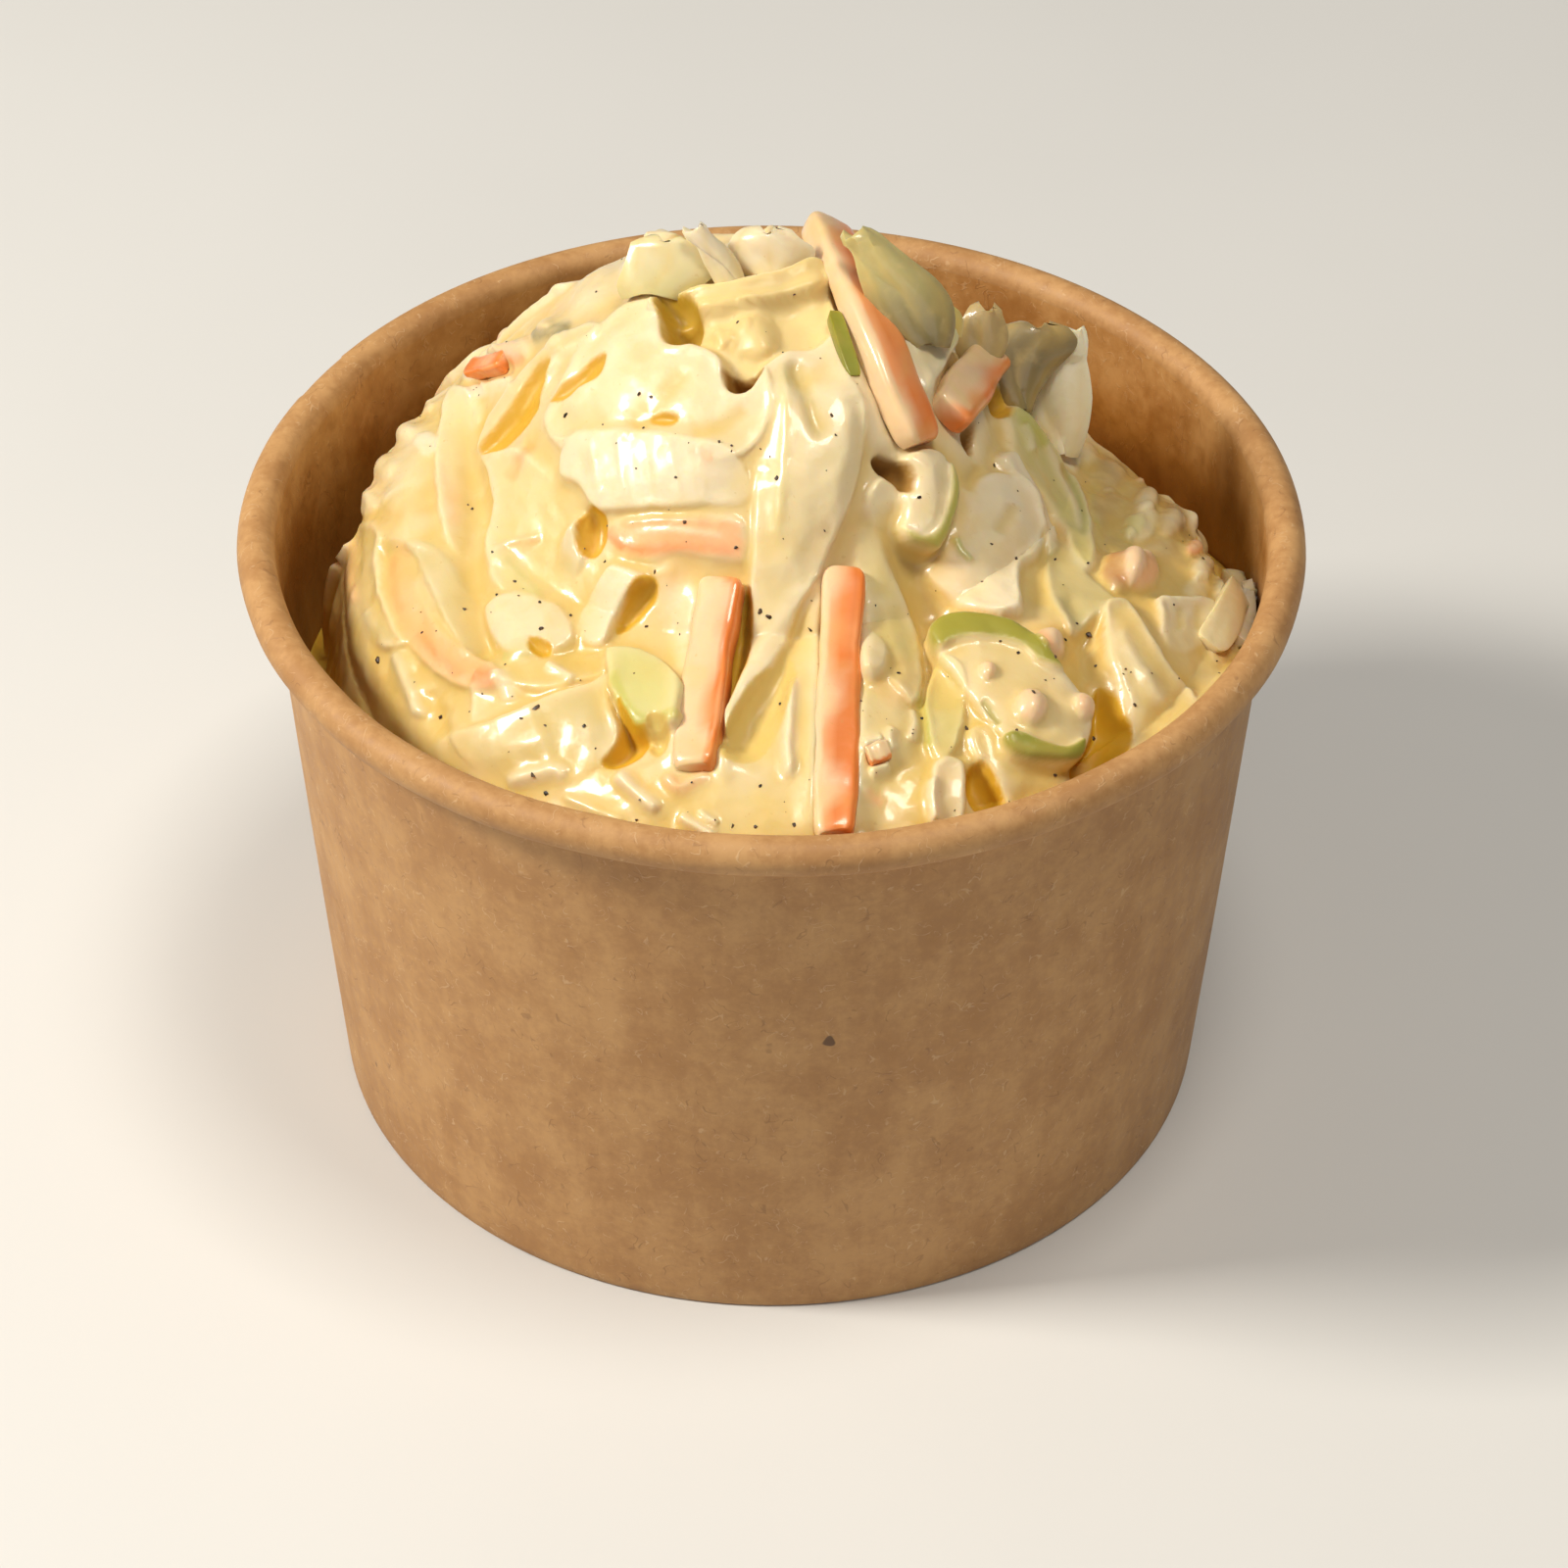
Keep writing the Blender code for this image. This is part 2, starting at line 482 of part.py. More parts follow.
def slaw(finish):
    """The whole heap: the core with every piece that shows fused on."""
    body = core(finish, bpy.context.scene.collection)
    loose = bpy.data.collections.new("pieces")
    bpy.context.scene.collection.children.link(loose)
    for kind, across in ((CABBAGE, 2), (CARROT, 1), (CELERY, 2)):
        for name, (thickness, tilt, points) in kind.items():
            laid_strip(name, thickness, tilt, points, across, finish, loose)
    for k, bit in enumerate(BITS):
        round_bit(f"bit_{k}", *bit, finish, loose)
    scatter(finish, loose)
    join = body.modifiers.new("join", "BOOLEAN")
    join.operation = "UNION"
    join.solver = "MANIFOLD"
    join.operand_type = "COLLECTION"
    join.collection = loose
    bpy.context.view_layer.objects.active = body
    bpy.ops.object.modifier_apply(modifier=join.name)
    for piece in list(loose.objects):
        bpy.data.objects.remove(piece)
    bpy.data.collections.remove(loose)
    keep_outer_shell(body)
    return body


def main():
    clear_scene()
    kraft = material("kraft_paper", KRAFT)
    dressed = material("dressed_slaw", SLAW)
    cup_wall(kraft)
    base_disc(kraft)
    slaw(dressed)


main()
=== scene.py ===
"""Coleslaw heaped in a kraft paper pot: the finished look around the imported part.

Lengths are in millimetres until a mesh is made. Shapes that show from the front are drawn on the photograph's
1600 x 1600 frame and carried along the camera's rays onto the heap of salad; the rest is laid out on its plan.
"""

import math
import random

import bpy
import numpy as np
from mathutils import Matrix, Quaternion, Vector, noise


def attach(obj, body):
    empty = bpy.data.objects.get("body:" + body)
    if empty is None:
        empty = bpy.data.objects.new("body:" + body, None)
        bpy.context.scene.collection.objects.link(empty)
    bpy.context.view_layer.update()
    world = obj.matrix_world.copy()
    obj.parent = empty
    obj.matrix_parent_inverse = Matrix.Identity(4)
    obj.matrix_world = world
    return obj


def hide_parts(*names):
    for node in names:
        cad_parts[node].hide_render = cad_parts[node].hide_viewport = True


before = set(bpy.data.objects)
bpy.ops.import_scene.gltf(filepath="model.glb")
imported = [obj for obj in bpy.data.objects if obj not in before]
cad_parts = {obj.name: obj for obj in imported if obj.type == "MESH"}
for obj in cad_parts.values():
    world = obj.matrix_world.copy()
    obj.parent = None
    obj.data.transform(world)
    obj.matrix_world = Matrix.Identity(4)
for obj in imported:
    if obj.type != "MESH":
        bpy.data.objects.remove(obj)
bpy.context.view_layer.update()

MM = 0.001
FRAME = 1600
AIM = Vector((1.134, 0.0, 26.0))
ELEVATION = math.radians(39.5)
DISTANCE = 414.03
ROLL = 0.0081
LENS = 108.0
SENSOR = 36.0

# The paper pot.
RIM_RADIUS = 45.0
CUP_HEIGHT = 56.0
FOOT_RADIUS = 38.5
ROLL_RADIUS = 1.6
PAPER = 0.5
FOLD_THICKNESS = 1.4
FOLD_HEIGHT = 6.0
FOOT_ROUNDING = 0.2
DISC_THICKNESS = 0.6
GAP = 0.3
ROLL_END = math.radians(-130)
LAP_AZIMUTH = math.radians(149)
LAP_WIDTH = math.radians(9)

# The heap, every 30 degrees of bearing from -180: reach, shoulder, foot, floor of the gap, squareness of the edge.
HEAP_ROUND = np.array((
    (36.6, 60.5, 48.0, 38.0, 7.0), (37.5, 60.0, 47.0, 45.0, 5.0), (39.4, 60.0, 50.5, 50.5, 4.0),
    (40.8, 60.0, 54.0, 54.0, 4.0), (40.8, 60.0, 54.0, 54.0, 4.0), (39.5, 60.0, 54.0, 54.0, 4.0),
    (36.5, 58.5, 51.5, 46.0, 5.0), (34.8, 58.0, 48.0, 40.0, 6.0), (34.3, 58.5, 47.0, 40.0, 6.0),
    (33.5, 58.5, 47.0, 42.0, 6.0), (35.0, 60.5, 48.0, 41.0, 7.0), (36.5, 61.0, 48.0, 37.0, 7.0),
))
HEAP_MIDDLE = np.array((60.0, 48.0, 48.0, 4.0))
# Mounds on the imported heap: place on the plan, radius, height.
MOUNDS = ((-23.0, 12.0, 7.0, 2.0), (-17.0, 17.0, 7.0, 1.6), (19.0, 14.0, 6.0, 0.8))
GAP_SIDE = 0.07
CROWN_CENTRE = (-0.3, 4.0)
CROWN_RADII = (25.3, 26.5)
CROWN_HEIGHT = 15.2
BODY_SIDES = 440
BODY_TRIANGLES = 192000

# Colours, linear.
CREAM = (0.71, 0.54, 0.235)
PALE = (0.75, 0.61, 0.34)
WHITE = (0.79, 0.67, 0.465)
STRAW = (0.65, 0.46, 0.135)
LEAF = (0.56, 0.48, 0.145)
GREY_LEAF = (0.47, 0.40, 0.19)
LIME = (0.40, 0.39, 0.045)
GREEN = (0.24, 0.24, 0.02)
# gold: dressing pooled in the deepest gap under the crown strip, darkened as painted shade
GOLD_AND_SHADE = (0.44, 0.25, 0.003)
OLIVE = (0.36, 0.29, 0.10)
# tan: painted shade over the right slope of the heap, which lies in the crown's shadow
SHADE_TAN = (0.45, 0.29, 0.10)
SKIN = (0.31, 0.28, 0.030)
# amber: dressing pooled in gaps and valleys, darkened and deepened as painted shade
AMBER_AND_SHADE = (0.62, 0.33, 0.006)
# brown: painted shade in the deepest, darkest gaps
SHADE_BROWN = (0.32, 0.14, 0.013)
PINK = (0.86, 0.40, 0.165)
ORANGE = (0.78, 0.21, 0.035)


def camera_axes():
    back = Vector((0.0, -math.cos(ELEVATION), math.sin(ELEVATION)))
    turn = back.to_track_quat("Z", "Y") @ Quaternion((0, 0, 1), ROLL)
    return AIM + back * DISTANCE, turn


EYE_PLACE, EYE_TURN = camera_axes()
EYE = np.array(EYE_PLACE)
EYE_AXES = np.array(EYE_TURN.to_matrix())
HALF_VIEW = SENSOR / 2 / LENS


def step_up(value, low=0.0, high=1.0):
    t = np.clip((value - low) / (high - low), 0.0, 1.0)
    return t * t * (3 - 2 * t)


def around(bearing):
    """Reach, shoulder, foot, floor and squareness of the heap on each bearing."""
    where = (np.degrees(bearing) + 180) / 30
    first = np.floor(where).astype(int)
    t = (where - first)[..., None]
    a, b, c, d = (HEAP_ROUND[(first + k) % len(HEAP_ROUND)] for k in (-1, 0, 1, 2))
    return 0.5 * (2 * b + (c - a) * t + (2 * a - 5 * b + 4 * c - d) * t**2 + (3 * b - a - 3 * c + d) * t**3)


def heap(x, y):
    """The height of the salad over places on the plan, down to the floor of the gap beside it."""
    x, y = np.asarray(x, float), np.asarray(y, float)
    radius, row = np.hypot(x, y), around(np.arctan2(y, x))
    outwards = (np.minimum(radius / 20, 1.0) ** 2)[..., None]
    levels = HEAP_MIDDLE + (row[..., 1:] - HEAP_MIDDLE) * outwards
    shoulder, foot, square = levels[..., 0], levels[..., 1], levels[..., 3]
    mound = (shoulder - foot) * (1 - np.minimum(radius / row[..., 0], 1.0) ** square) ** 0.8
    off = np.hypot((x - CROWN_CENTRE[0]) / CROWN_RADII[0], (y - CROWN_CENTRE[1]) / CROWN_RADII[1])
    crown = CROWN_HEIGHT * (1 - np.minimum(off, 1.0) ** 2.2) ** 1.15
    gap = (row[..., 2] - row[..., 3]) * step_up(radius / row[..., 0] - 1.0, 0.0, GAP_SIDE)
    height = foot + mound + crown - gap
    height += 1.3 * step_up(height, 62, 72)
    for mound_x, mound_y, wide, rise in MOUNDS:
        height += rise * np.exp(-(((x - mound_x) ** 2 + (y - mound_y) ** 2) / wide**2))
    return height


def heap_normals(x, y, step=0.5):
    slope_x = (heap(x + step, y) - heap(x - step, y)) / (2 * step)
    slope_y = (heap(x, y + step) - heap(x, y - step)) / (2 * step)
    normals = np.stack((-slope_x, -slope_y, np.ones_like(slope_x)), -1)
    return normals / np.linalg.norm(normals, axis=-1, keepdims=True)


def project(places):
    """Where points in millimetres fall on the photograph's frame."""
    seen = (places - EYE) @ EYE_AXES
    half = FRAME / 2
    return (half + half / HALF_VIEW * seen[..., 0] / -seen[..., 2],
            half - half / HALF_VIEW * seen[..., 1] / -seen[..., 2])


def on_heap(px, py, lift=0.0):
    """The places on the plan where the camera's rays through frame points meet the heap raised by a lift."""
    px, py = np.asarray(px, float), np.asarray(py, float)
    half = FRAME / 2
    local = np.stack(((px - half) / half * HALF_VIEW, (half - py) / half * HALF_VIEW, -np.ones_like(px)), -1)
    rays = local @ EYE_AXES.T
    heights = np.linspace(84, 32, 209)
    reach = (heights[:, None] - EYE[2]) / rays[None, :, 2]
    places = EYE + rays[None] * reach[..., None]
    above = places[..., 2] - heap(places[..., 0], places[..., 1]) - lift
    first = np.maximum(np.argmax(above < 0, axis=0), 1)
    column = np.arange(len(px))
    high, low = above[first - 1, column], above[first, column]
    share = np.clip(high / np.maximum(high - low, 1e-6), 0, 1)[:, None]
    hit = places[first - 1, column] * (1 - share) + places[first, column] * share
    return hit[:, :2]


def seen_by_camera(places, normals):
    """1 where the camera sees the heap at these places, 0 where the heap itself is in the way."""
    towards = EYE - places
    towards /= np.linalg.norm(towards, axis=-1, keepdims=True)
    clear = np.ones(len(places))
    for reach in np.concatenate((np.arange(1.0, 12.0, 1.5), np.arange(12.0, 48.0, 4.0))):
        at = places + towards * reach
        clear *= step_up(at[:, 2] - heap(at[:, 0], at[:, 1]), -0.6, 0.1)
    return clear * step_up((normals * towards).sum(-1), 0.02, 0.12)


def smooth_loop(points, closed, fine=4):
    """Catmull-Rom points through a row of stations of any number of columns."""
    rows = np.asarray(points, float)
    count = len(rows)
    if closed:
        where = np.arange(count * fine) / fine
    else:
        where = np.linspace(0, count - 1, (count - 1) * fine + 1)
    first = np.floor(where).astype(int)
    if not closed:
        first = np.minimum(first, count - 2)
    t = (where - first)[:, None]

    def row(k):
        return rows[(first + k) % count] if closed else rows[np.clip(first + k, 0, count - 1)]

    a, b, c, d = row(-1), row(0), row(1), row(2)
    return 0.5 * (2 * b + (c - a) * t + (2 * a - 5 * b + 4 * c - d) * t**2 + (3 * b - a - 3 * c + d) * t**3)


def to_segments(u, v, ends):
    """Distance to a broken line, and how far along it the nearest point is, from 0 to 1."""
    best = np.full(u.shape, 1e9)
    along = np.zeros(u.shape)
    pieces = len(ends) - 1
    for k, (start, end) in enumerate(zip(ends[:-1], ends[1:])):
        run = end - start
        t = np.clip(((u - start[0]) * run[0] + (v - start[1]) * run[1]) / max(run @ run, 1e-9), 0, 1)
        away = np.hypot(u - start[0] - t * run[0], v - start[1] - t * run[1])
        nearer = away < best
        best = np.where(nearer, away, best)
        along = np.where(nearer, (k + t) / pieces, along)
    return best, along


def inside(u, v, ring):
    found = np.zeros(u.shape, bool)
    for start, end in zip(ring, np.roll(ring, -1, axis=0)):
        crosses = (start[1] > v) != (end[1] > v)
        drop = end[1] - start[1]
        edge = start[0] + (v - start[1]) * (end[0] - start[0]) / (drop if abs(drop) > 1e-9 else 1e-9)
        found ^= crosses & (u < edge)
    return found


class Relief:
    """The dressed surface of the heap: how far each point stands out of it, and what colour it is there."""

    def __init__(self, places, normals):
        self.places, self.normals = places, normals
        self.px, self.py = project(places)
        further = project(places + normals)
        self.shift = further[0] - self.px, further[1] - self.py
        self.seen = seen_by_camera(places, normals)
        self.out = np.zeros(len(places))
        self.tint = np.tile(np.array(CREAM), (len(places), 1))
        self.coat = np.full(len(places), 0.5)
        self.wander = [1.6 * cloud(places, 1.9, 11 + k) + 0.9 * cloud(places, 0.8, 21 + k) for k in (0, 1)]

    def where(self, lift, on_plan, ragged=1.0):
        wander = [ragged * way for way in self.wander]
        if on_plan:
            return self.places[:, 0] * 12 + wander[0], self.places[:, 1] * 12 + wander[1], 1 - self.seen
        return (self.px + lift * self.shift[0] + wander[0], self.py + lift * self.shift[1] + wander[1], self.seen)

    def near(self, u, v, weight, points, margin):
        low, high = points.min(0) - margin, points.max(0) + margin
        return np.flatnonzero((u > low[0]) & (u < high[0]) & (v > low[1]) & (v < high[1]) & (weight > 0.01))

    def colour(self, at, tint, share):
        share = share[:, None]
        self.tint[at] = self.tint[at] * (1 - share) + np.array(tint) * share

    def area(self, points, lift, tint=None, strength=0.8, edge=4.0, rim=0.0, dome=0.0, keep=0.35, rim_tint=None,
             soft=None, fade=None, coat=None, ragged=1.0, on_plan=False):
        """A leaf or a cream patch: it stands up at its crisp side and runs into the dressing where it fades."""
        ring = smooth_loop(points, True)
        u, v, weight = self.where(lift, on_plan, ragged)
        at = self.near(u, v, weight, ring, 14)
        u, v = u[at], v[at]
        away, _ = to_segments(u, v, np.vstack((ring, ring[:1])))
        depth = np.where(inside(u, v, ring), away, -away)
        cover = step_up(depth, -edge / 2, edge / 2) * weight[at]
        crisp = 1.0
        if fade is not None:
            x0, y0, x1, y1 = fade
            run = np.array((x1 - x0, y1 - y0), float)
            crisp = 1 - step_up(((u - x0) * run[0] + (v - y0) * run[1]) / (run @ run), 0.0, 1.0)
        raised = lift + rim * np.exp(-(((depth - 4) / 5) ** 2)) + dome * step_up(depth, 0, 40) + keep * self.out[at]
        level = self.out[at] + (raised - self.out[at]) * crisp
        self.out[at] += (level - self.out[at]) * cover
        if tint is not None:
            share = step_up(depth, -1, soft or max(edge * 0.6, 2)) * weight[at]
            self.colour(at, tint, strength * share * (0.35 + 0.65 * crisp))
        if rim_tint is not None:
            self.colour(at, rim_tint, 0.75 * np.exp(-(((depth - 1) / 3.2) ** 2)) * weight[at] * crisp)
        if coat is not None:
            self.coat[at] += (coat - self.coat[at]) * cover

    def hollow(self, points, depth, tint, edge=8.0, strength=0.9, on_plan=False):
        """A gap down between the pieces, tinted with painted shade and the dressing pooled in it."""
        ring = smooth_loop(points, True)
        u, v, weight = self.where(0.0, on_plan, 0.7)
        at = self.near(u, v, weight, ring, 6)
        u, v = u[at], v[at]
        away, _ = to_segments(u, v, np.vstack((ring, ring[:1])))
        reach = np.where(inside(u, v, ring), away, -away)
        self.out[at] -= depth * step_up(reach, -1.5, edge) * weight[at]
        share = step_up(reach, -2.5, 1.0) * weight[at]
        self.colour(at, tint, strength * share)
        self.coat[at] -= (self.coat[at] + 0.6) * share

    def stroke(self, points, half_width, height, tint=None, strength=0.7, power=2.0, on_plan=False, fine=4):
        """A ridge, or with a height below 0 a groove, that dies out at both ends."""
        line = smooth_loop(points, False, fine)
        u, v, weight = self.where(0.5, on_plan, 0.5)
        at = self.near(u, v, weight, line, 3 * half_width)
        away, along = to_segments(u[at], v[at], line)
        profile = np.exp(-((away / half_width) ** power)) * weight[at]
        profile *= step_up(along, -0.02, 0.16) * step_up(1 - along, -0.02, 0.16)
        self.out[at] += height * profile
        if tint is not None:
            self.colour(at, tint, strength * np.minimum(profile * 1.3, 1))

    def bead(self, x, y, radius, height, tint, strength=0.8):
        """A small round lump under the dressing."""
        u, v, weight = self.where(1.0, False, 1.0)
        away = np.hypot(u - x, v - y) / radius
        at = np.flatnonzero((away < 1.4) & (weight > 0.01))
        away, weight = away[at], weight[at]
        self.out[at] += height * np.sqrt(np.clip(1 - away**2, 0, 1)) * weight
        self.colour(at, tint, strength * step_up(1.05 - away, 0, 0.4) * weight)


# Cream and leaves that show from the front: points on the frame, then how they lie.
AREAS = (
    # left-hand leaf with the scalloped edge
    ([(658, 298), (671, 306), (674, 325), (675, 343), (689, 348), (701, 346), (718, 350), (733, 360), (739, 378),
      (742, 392), (753, 396), (765, 391), (771, 380), (781, 368), (790, 400), (785, 430), (760, 462), (700, 474),
      (620, 470), (570, 458), (550, 430), (560, 400), (590, 350), (620, 318)],
     dict(lift=0.23, tint=PALE, strength=0.55, edge=5, rim=0.3, soft=14)),
    # strip outside the long slit
    ([(598, 323), (610, 335), (585, 352), (562, 370), (545, 395), (524, 425), (500, 452), (482, 457), (484, 440),
      (502, 408), (520, 384), (543, 358), (570, 338)],
     dict(lift=0.49, tint=STRAW, strength=0.5, edge=6, rim=0.3, rim_tint=PALE)),
    # layered leaves of the left side
    ([(482, 460), (500, 456), (520, 452), (545, 470), (560, 490), (575, 505), (566, 540), (556, 570), (548, 600),
      (520, 600), (498, 585), (492, 550), (495, 510), (490, 480)],
     dict(lift=0.45, tint=CREAM, strength=0.4, edge=6, rim=0.25, fade=(490, 520, 560, 540))),
    ([(451, 396), (470, 390), (484, 410), (480, 440), (486, 470), (490, 510), (486, 550), (470, 560), (452, 545),
      (444, 510), (442, 455)],
     dict(lift=0.52, tint=PALE, strength=0.5, edge=6, rim=0.35, fade=(446, 470, 490, 480))),
    ([(399, 440), (415, 420), (436, 415), (442, 440), (440, 470), (430, 490), (412, 500), (396, 510), (380, 520),
      (372, 500), (385, 465)],
     dict(lift=0.39, tint=WHITE, strength=0.6, edge=6, rim=0.3, fade=(380, 470, 440, 480))),
    ([(345, 550), (360, 532), (378, 530), (390, 545), (384, 562), (385, 590), (391, 612), (404, 640), (412, 655),
      (396, 662), (372, 655), (360, 634), (350, 590)],
     dict(lift=0.39, tint=STRAW, strength=0.35, edge=6, rim=0.4, fade=(390, 590, 350, 600))),
    ([(360, 512), (380, 500), (400, 512), (420, 520), (440, 530), (436, 548), (410, 546), (388, 540), (368, 530)],
     dict(lift=0.33, tint=STRAW, strength=0.4, edge=6, rim=0.2, fade=(380, 510, 420, 545))),
    # grey leaf inside the curved carrot
    ([(411, 552), (430, 548), (450, 560), (470, 590), (486, 620), (492, 645), (476, 664), (462, 650), (446, 622),
      (432, 590), (420, 566)],
     dict(lift=0.42, tint=GREY_LEAF, strength=0.5, edge=6, rim=0.2, fade=(430, 610, 490, 590), coat=0.1)),
    ([(490, 610), (515, 598), (545, 603), (570, 612), (585, 640), (560, 660), (530, 664), (505, 655), (492, 635)],
     dict(lift=0.49, tint=WHITE, strength=0.6, edge=9, dome=0.4)),
    # leaf with the green edge over the fold
    ([(498, 664), (520, 652), (552, 648), (580, 655), (612, 662), (616, 682), (594, 690), (560, 700), (530, 700),
      (500, 690)],
     dict(lift=0.26, tint=STRAW, strength=0.5, edge=6, rim=0.3, fade=(540, 690, 540, 640))),
    ([(480, 697), (500, 690), (530, 700), (545, 706), (520, 722), (480, 738), (478, 715)],
     dict(lift=0.26, tint=PALE, strength=0.6, edge=5, rim=0.2, fade=(480, 715, 545, 706))),
    # white lobe
    ([(553, 441), (572, 443), (583, 436), (604, 435), (624, 434), (657, 436), (690, 439), (720, 445), (745, 455),
      (762, 480), (766, 505), (750, 513), (720, 514), (690, 517), (651, 518), (615, 520), (598, 518), (592, 505),
      (583, 492), (566, 484), (563, 475), (565, 460), (570, 450)],
     dict(lift=0.72, tint=(0.75, 0.63, 0.42), strength=0.85, edge=6, rim=0.1, dome=0.1, keep=0.0, soft=10,
          fade=(700, 470, 800, 500))),
    # leaf left of the oval hole
    ([(592, 518), (584, 524), (575, 535), (566, 548), (561, 565), (559, 582), (566, 594), (577, 591), (585, 580),
      (590, 560), (590, 535)],
     dict(lift=0.65, tint=GREY_LEAF, strength=0.4, edge=5, rim=0.25, fade=(588, 550, 555, 570), coat=0.2)),
    # white tongue with the pointed tip
    ([(617, 574), (628, 576), (645, 582), (657, 588), (655, 592), (643, 599), (633, 610), (622, 627), (613, 642),
      (598, 643), (584, 632), (588, 614), (599, 595), (609, 580)],
     dict(lift=1.3, tint=WHITE, strength=0.8, edge=4, rim=0.25, dome=0.2, fade=(650, 600, 570, 600), ragged=0.5)),
    # carrot lying across, under a thin veil of cream
    ([(611, 536), (633, 526), (671, 525), (706, 523), (745, 527), (760, 536), (760, 568), (745, 573), (692, 565),
      (662, 570), (636, 569), (622, 553)],
     dict(lift=0.49, tint=PINK, strength=0.75, edge=7, rim=0.0, dome=0.25, soft=9, fade=(700, 548, 560, 548),
          coat=0.25)),
    # curved slip of carrot at the lower left
    ([(392, 556), (404, 546), (416, 556), (418, 585), (428, 612), (446, 636), (470, 657), (503, 675), (508, 688),
      (499, 700), (470, 700), (438, 684), (410, 655), (392, 620), (385, 585)],
     dict(lift=0.52, tint=PINK, strength=0.75, edge=6, rim=0.1, dome=0.2, soft=8, fade=(480, 690, 420, 540),
          coat=0.2)),
    # lower left leaf
    ([(456, 751), (466, 744), (480, 739), (522, 721), (558, 704), (594, 691), (618, 682), (619, 700), (622, 715),
      (628, 730), (630, 742), (627, 751), (621, 762), (606, 776), (580, 790), (540, 800), (500, 796), (477, 784),
      (461, 766)],
     dict(lift=0.78, tint=GREY_LEAF, strength=0.42, edge=5, rim=0.3, dome=0.2, soft=20, fade=(560, 715, 555, 800),
          coat=0.3)),
    # strip of leaf over the bowl, crisp below
    ([(654, 298), (664, 286), (700, 276), (745, 270), (800, 258), (842, 255), (852, 266), (848, 275), (800, 283),
      (745, 293), (700, 298), (672, 303)],
     dict(lift=1.9, tint=STRAW, strength=0.7, edge=4, rim=0.25, keep=0.1, fade=(750, 288, 742, 250), ragged=0.7)),
    # leaf below the crown strip's left end
    ([(642, 256), (665, 252), (690, 255), (720, 258), (728, 275), (700, 284), (668, 292), (645, 296), (632, 288),
      (632, 270)],
     dict(lift=0.39, tint=GREY_LEAF, strength=0.3, edge=6, rim=0.3)),
    # celery chunk
    ([(615, 653), (618, 651), (634, 650), (650, 651), (655, 653), (676, 665), (695, 690), (698, 696), (694, 714),
      (692, 730), (688, 735), (668, 738), (650, 740), (642, 738), (632, 725), (627, 712), (618, 682)],
     dict(lift=1.35, tint=(0.60, 0.56, 0.20), strength=0.9, edge=4, rim=0.1, keep=0.0, coat=0.0,
          fade=(625, 740, 800, 590), ragged=0.1)),
    ([(617, 690), (627, 713), (634, 728), (644, 738), (691, 732), (693, 722), (655, 722), (640, 705), (629, 678)],
     dict(lift=1.35, tint=LIME, strength=0.55, edge=4, keep=0.0, soft=6, coat=-0.3, ragged=0.1)),
    # middle leaf, the big petal
    ([(806, 353), (818, 349), (835, 352), (852, 358), (868, 380), (880, 400), (886, 420), (886, 444), (881, 480),
      (872, 508), (858, 539), (844, 571), (836, 589), (817, 618), (802, 654), (780, 684), (761, 707), (747, 729),
      (739, 740), (737, 725), (745, 695), (752, 670), (758, 640), (763, 610), (766, 580), (768, 550), (770, 500),
      (775, 450), (780, 400), (786, 374)],
     dict(lift=0.75, tint=PALE, strength=0.5, edge=5, rim=0.15, dome=0.35, fade=(845, 500, 770, 440))),
    # second petal, right of the long carrot
    ([(883, 530), (892, 533), (901, 546), (915, 579), (929, 611), (940, 643), (944, 679), (942, 704), (932, 712),
      (915, 700), (900, 690), (880, 690), (874, 650), (876, 600), (876, 564)],
     dict(lift=0.65, tint=LEAF, strength=0.3, edge=6, rim=0.2, dome=0.4, fade=(925, 640, 850, 560))),
    ([(954, 672), (970, 672), (984, 690), (986, 730), (976, 762), (957, 770), (948, 740), (944, 710)],
     dict(lift=0.52, tint=LEAF, strength=0.5, edge=5, rim=0.2, dome=0.2, coat=0.2)),
    ([(954, 775), (970, 768), (986, 775), (988, 805), (984, 838), (955, 846), (949, 820), (950, 795)],
     dict(lift=0.59, tint=WHITE, strength=0.45, edge=5, rim=0.25)),
    # block right of the crown stick, with its green corner
    ([(921, 330), (932, 321), (948, 318), (962, 323), (974, 334), (977, 350), (968, 372), (952, 396), (941, 410),
      (929, 390), (918, 352)],
     dict(lift=1.5, tint=PALE, strength=0.7, edge=6, rim=0.25, dome=0.3, fade=(950, 325, 938, 420))),
    ([(950, 322), (962, 323), (974, 334), (977, 350), (970, 360), (962, 350), (960, 338), (950, 332)],
     dict(lift=1.7, tint=LIME, strength=0.7, edge=4, soft=5, coat=0.1)),
    # cream between the cavity and the celery
    ([(885, 505), (900, 485), (915, 490), (925, 502), (930, 520), (920, 545), (905, 540), (890, 525)],
     dict(lift=0.59, tint=PALE, strength=0.5, edge=7, rim=0.2, fade=(915, 505, 890, 540))),
    # celery under the short carrot: white flesh, green side and foot
    ([(926, 470), (945, 455), (965, 456), (978, 474), (983, 500), (976, 530), (967, 552), (959, 560), (932, 551),
      (925, 538), (930, 515)],
     dict(lift=1.5, tint=PALE, strength=0.7, edge=5, dome=0.7, keep=0.0, ragged=0.4)),
    ([(925, 536), (935, 541), (946, 545), (957, 537), (965, 520), (970, 498), (973, 470), (980, 476), (984, 500),
      (977, 530), (968, 552), (960, 561), (944, 557), (931, 551)],
     dict(lift=1.5, tint=LIME, strength=0.95, edge=4, dome=0.7, soft=7, coat=-0.3, ragged=0.4)),
    # swirl
    ([(985, 500), (1000, 488), (1015, 480), (1030, 476), (1050, 488), (1063, 508), (1069, 535), (1061, 558),
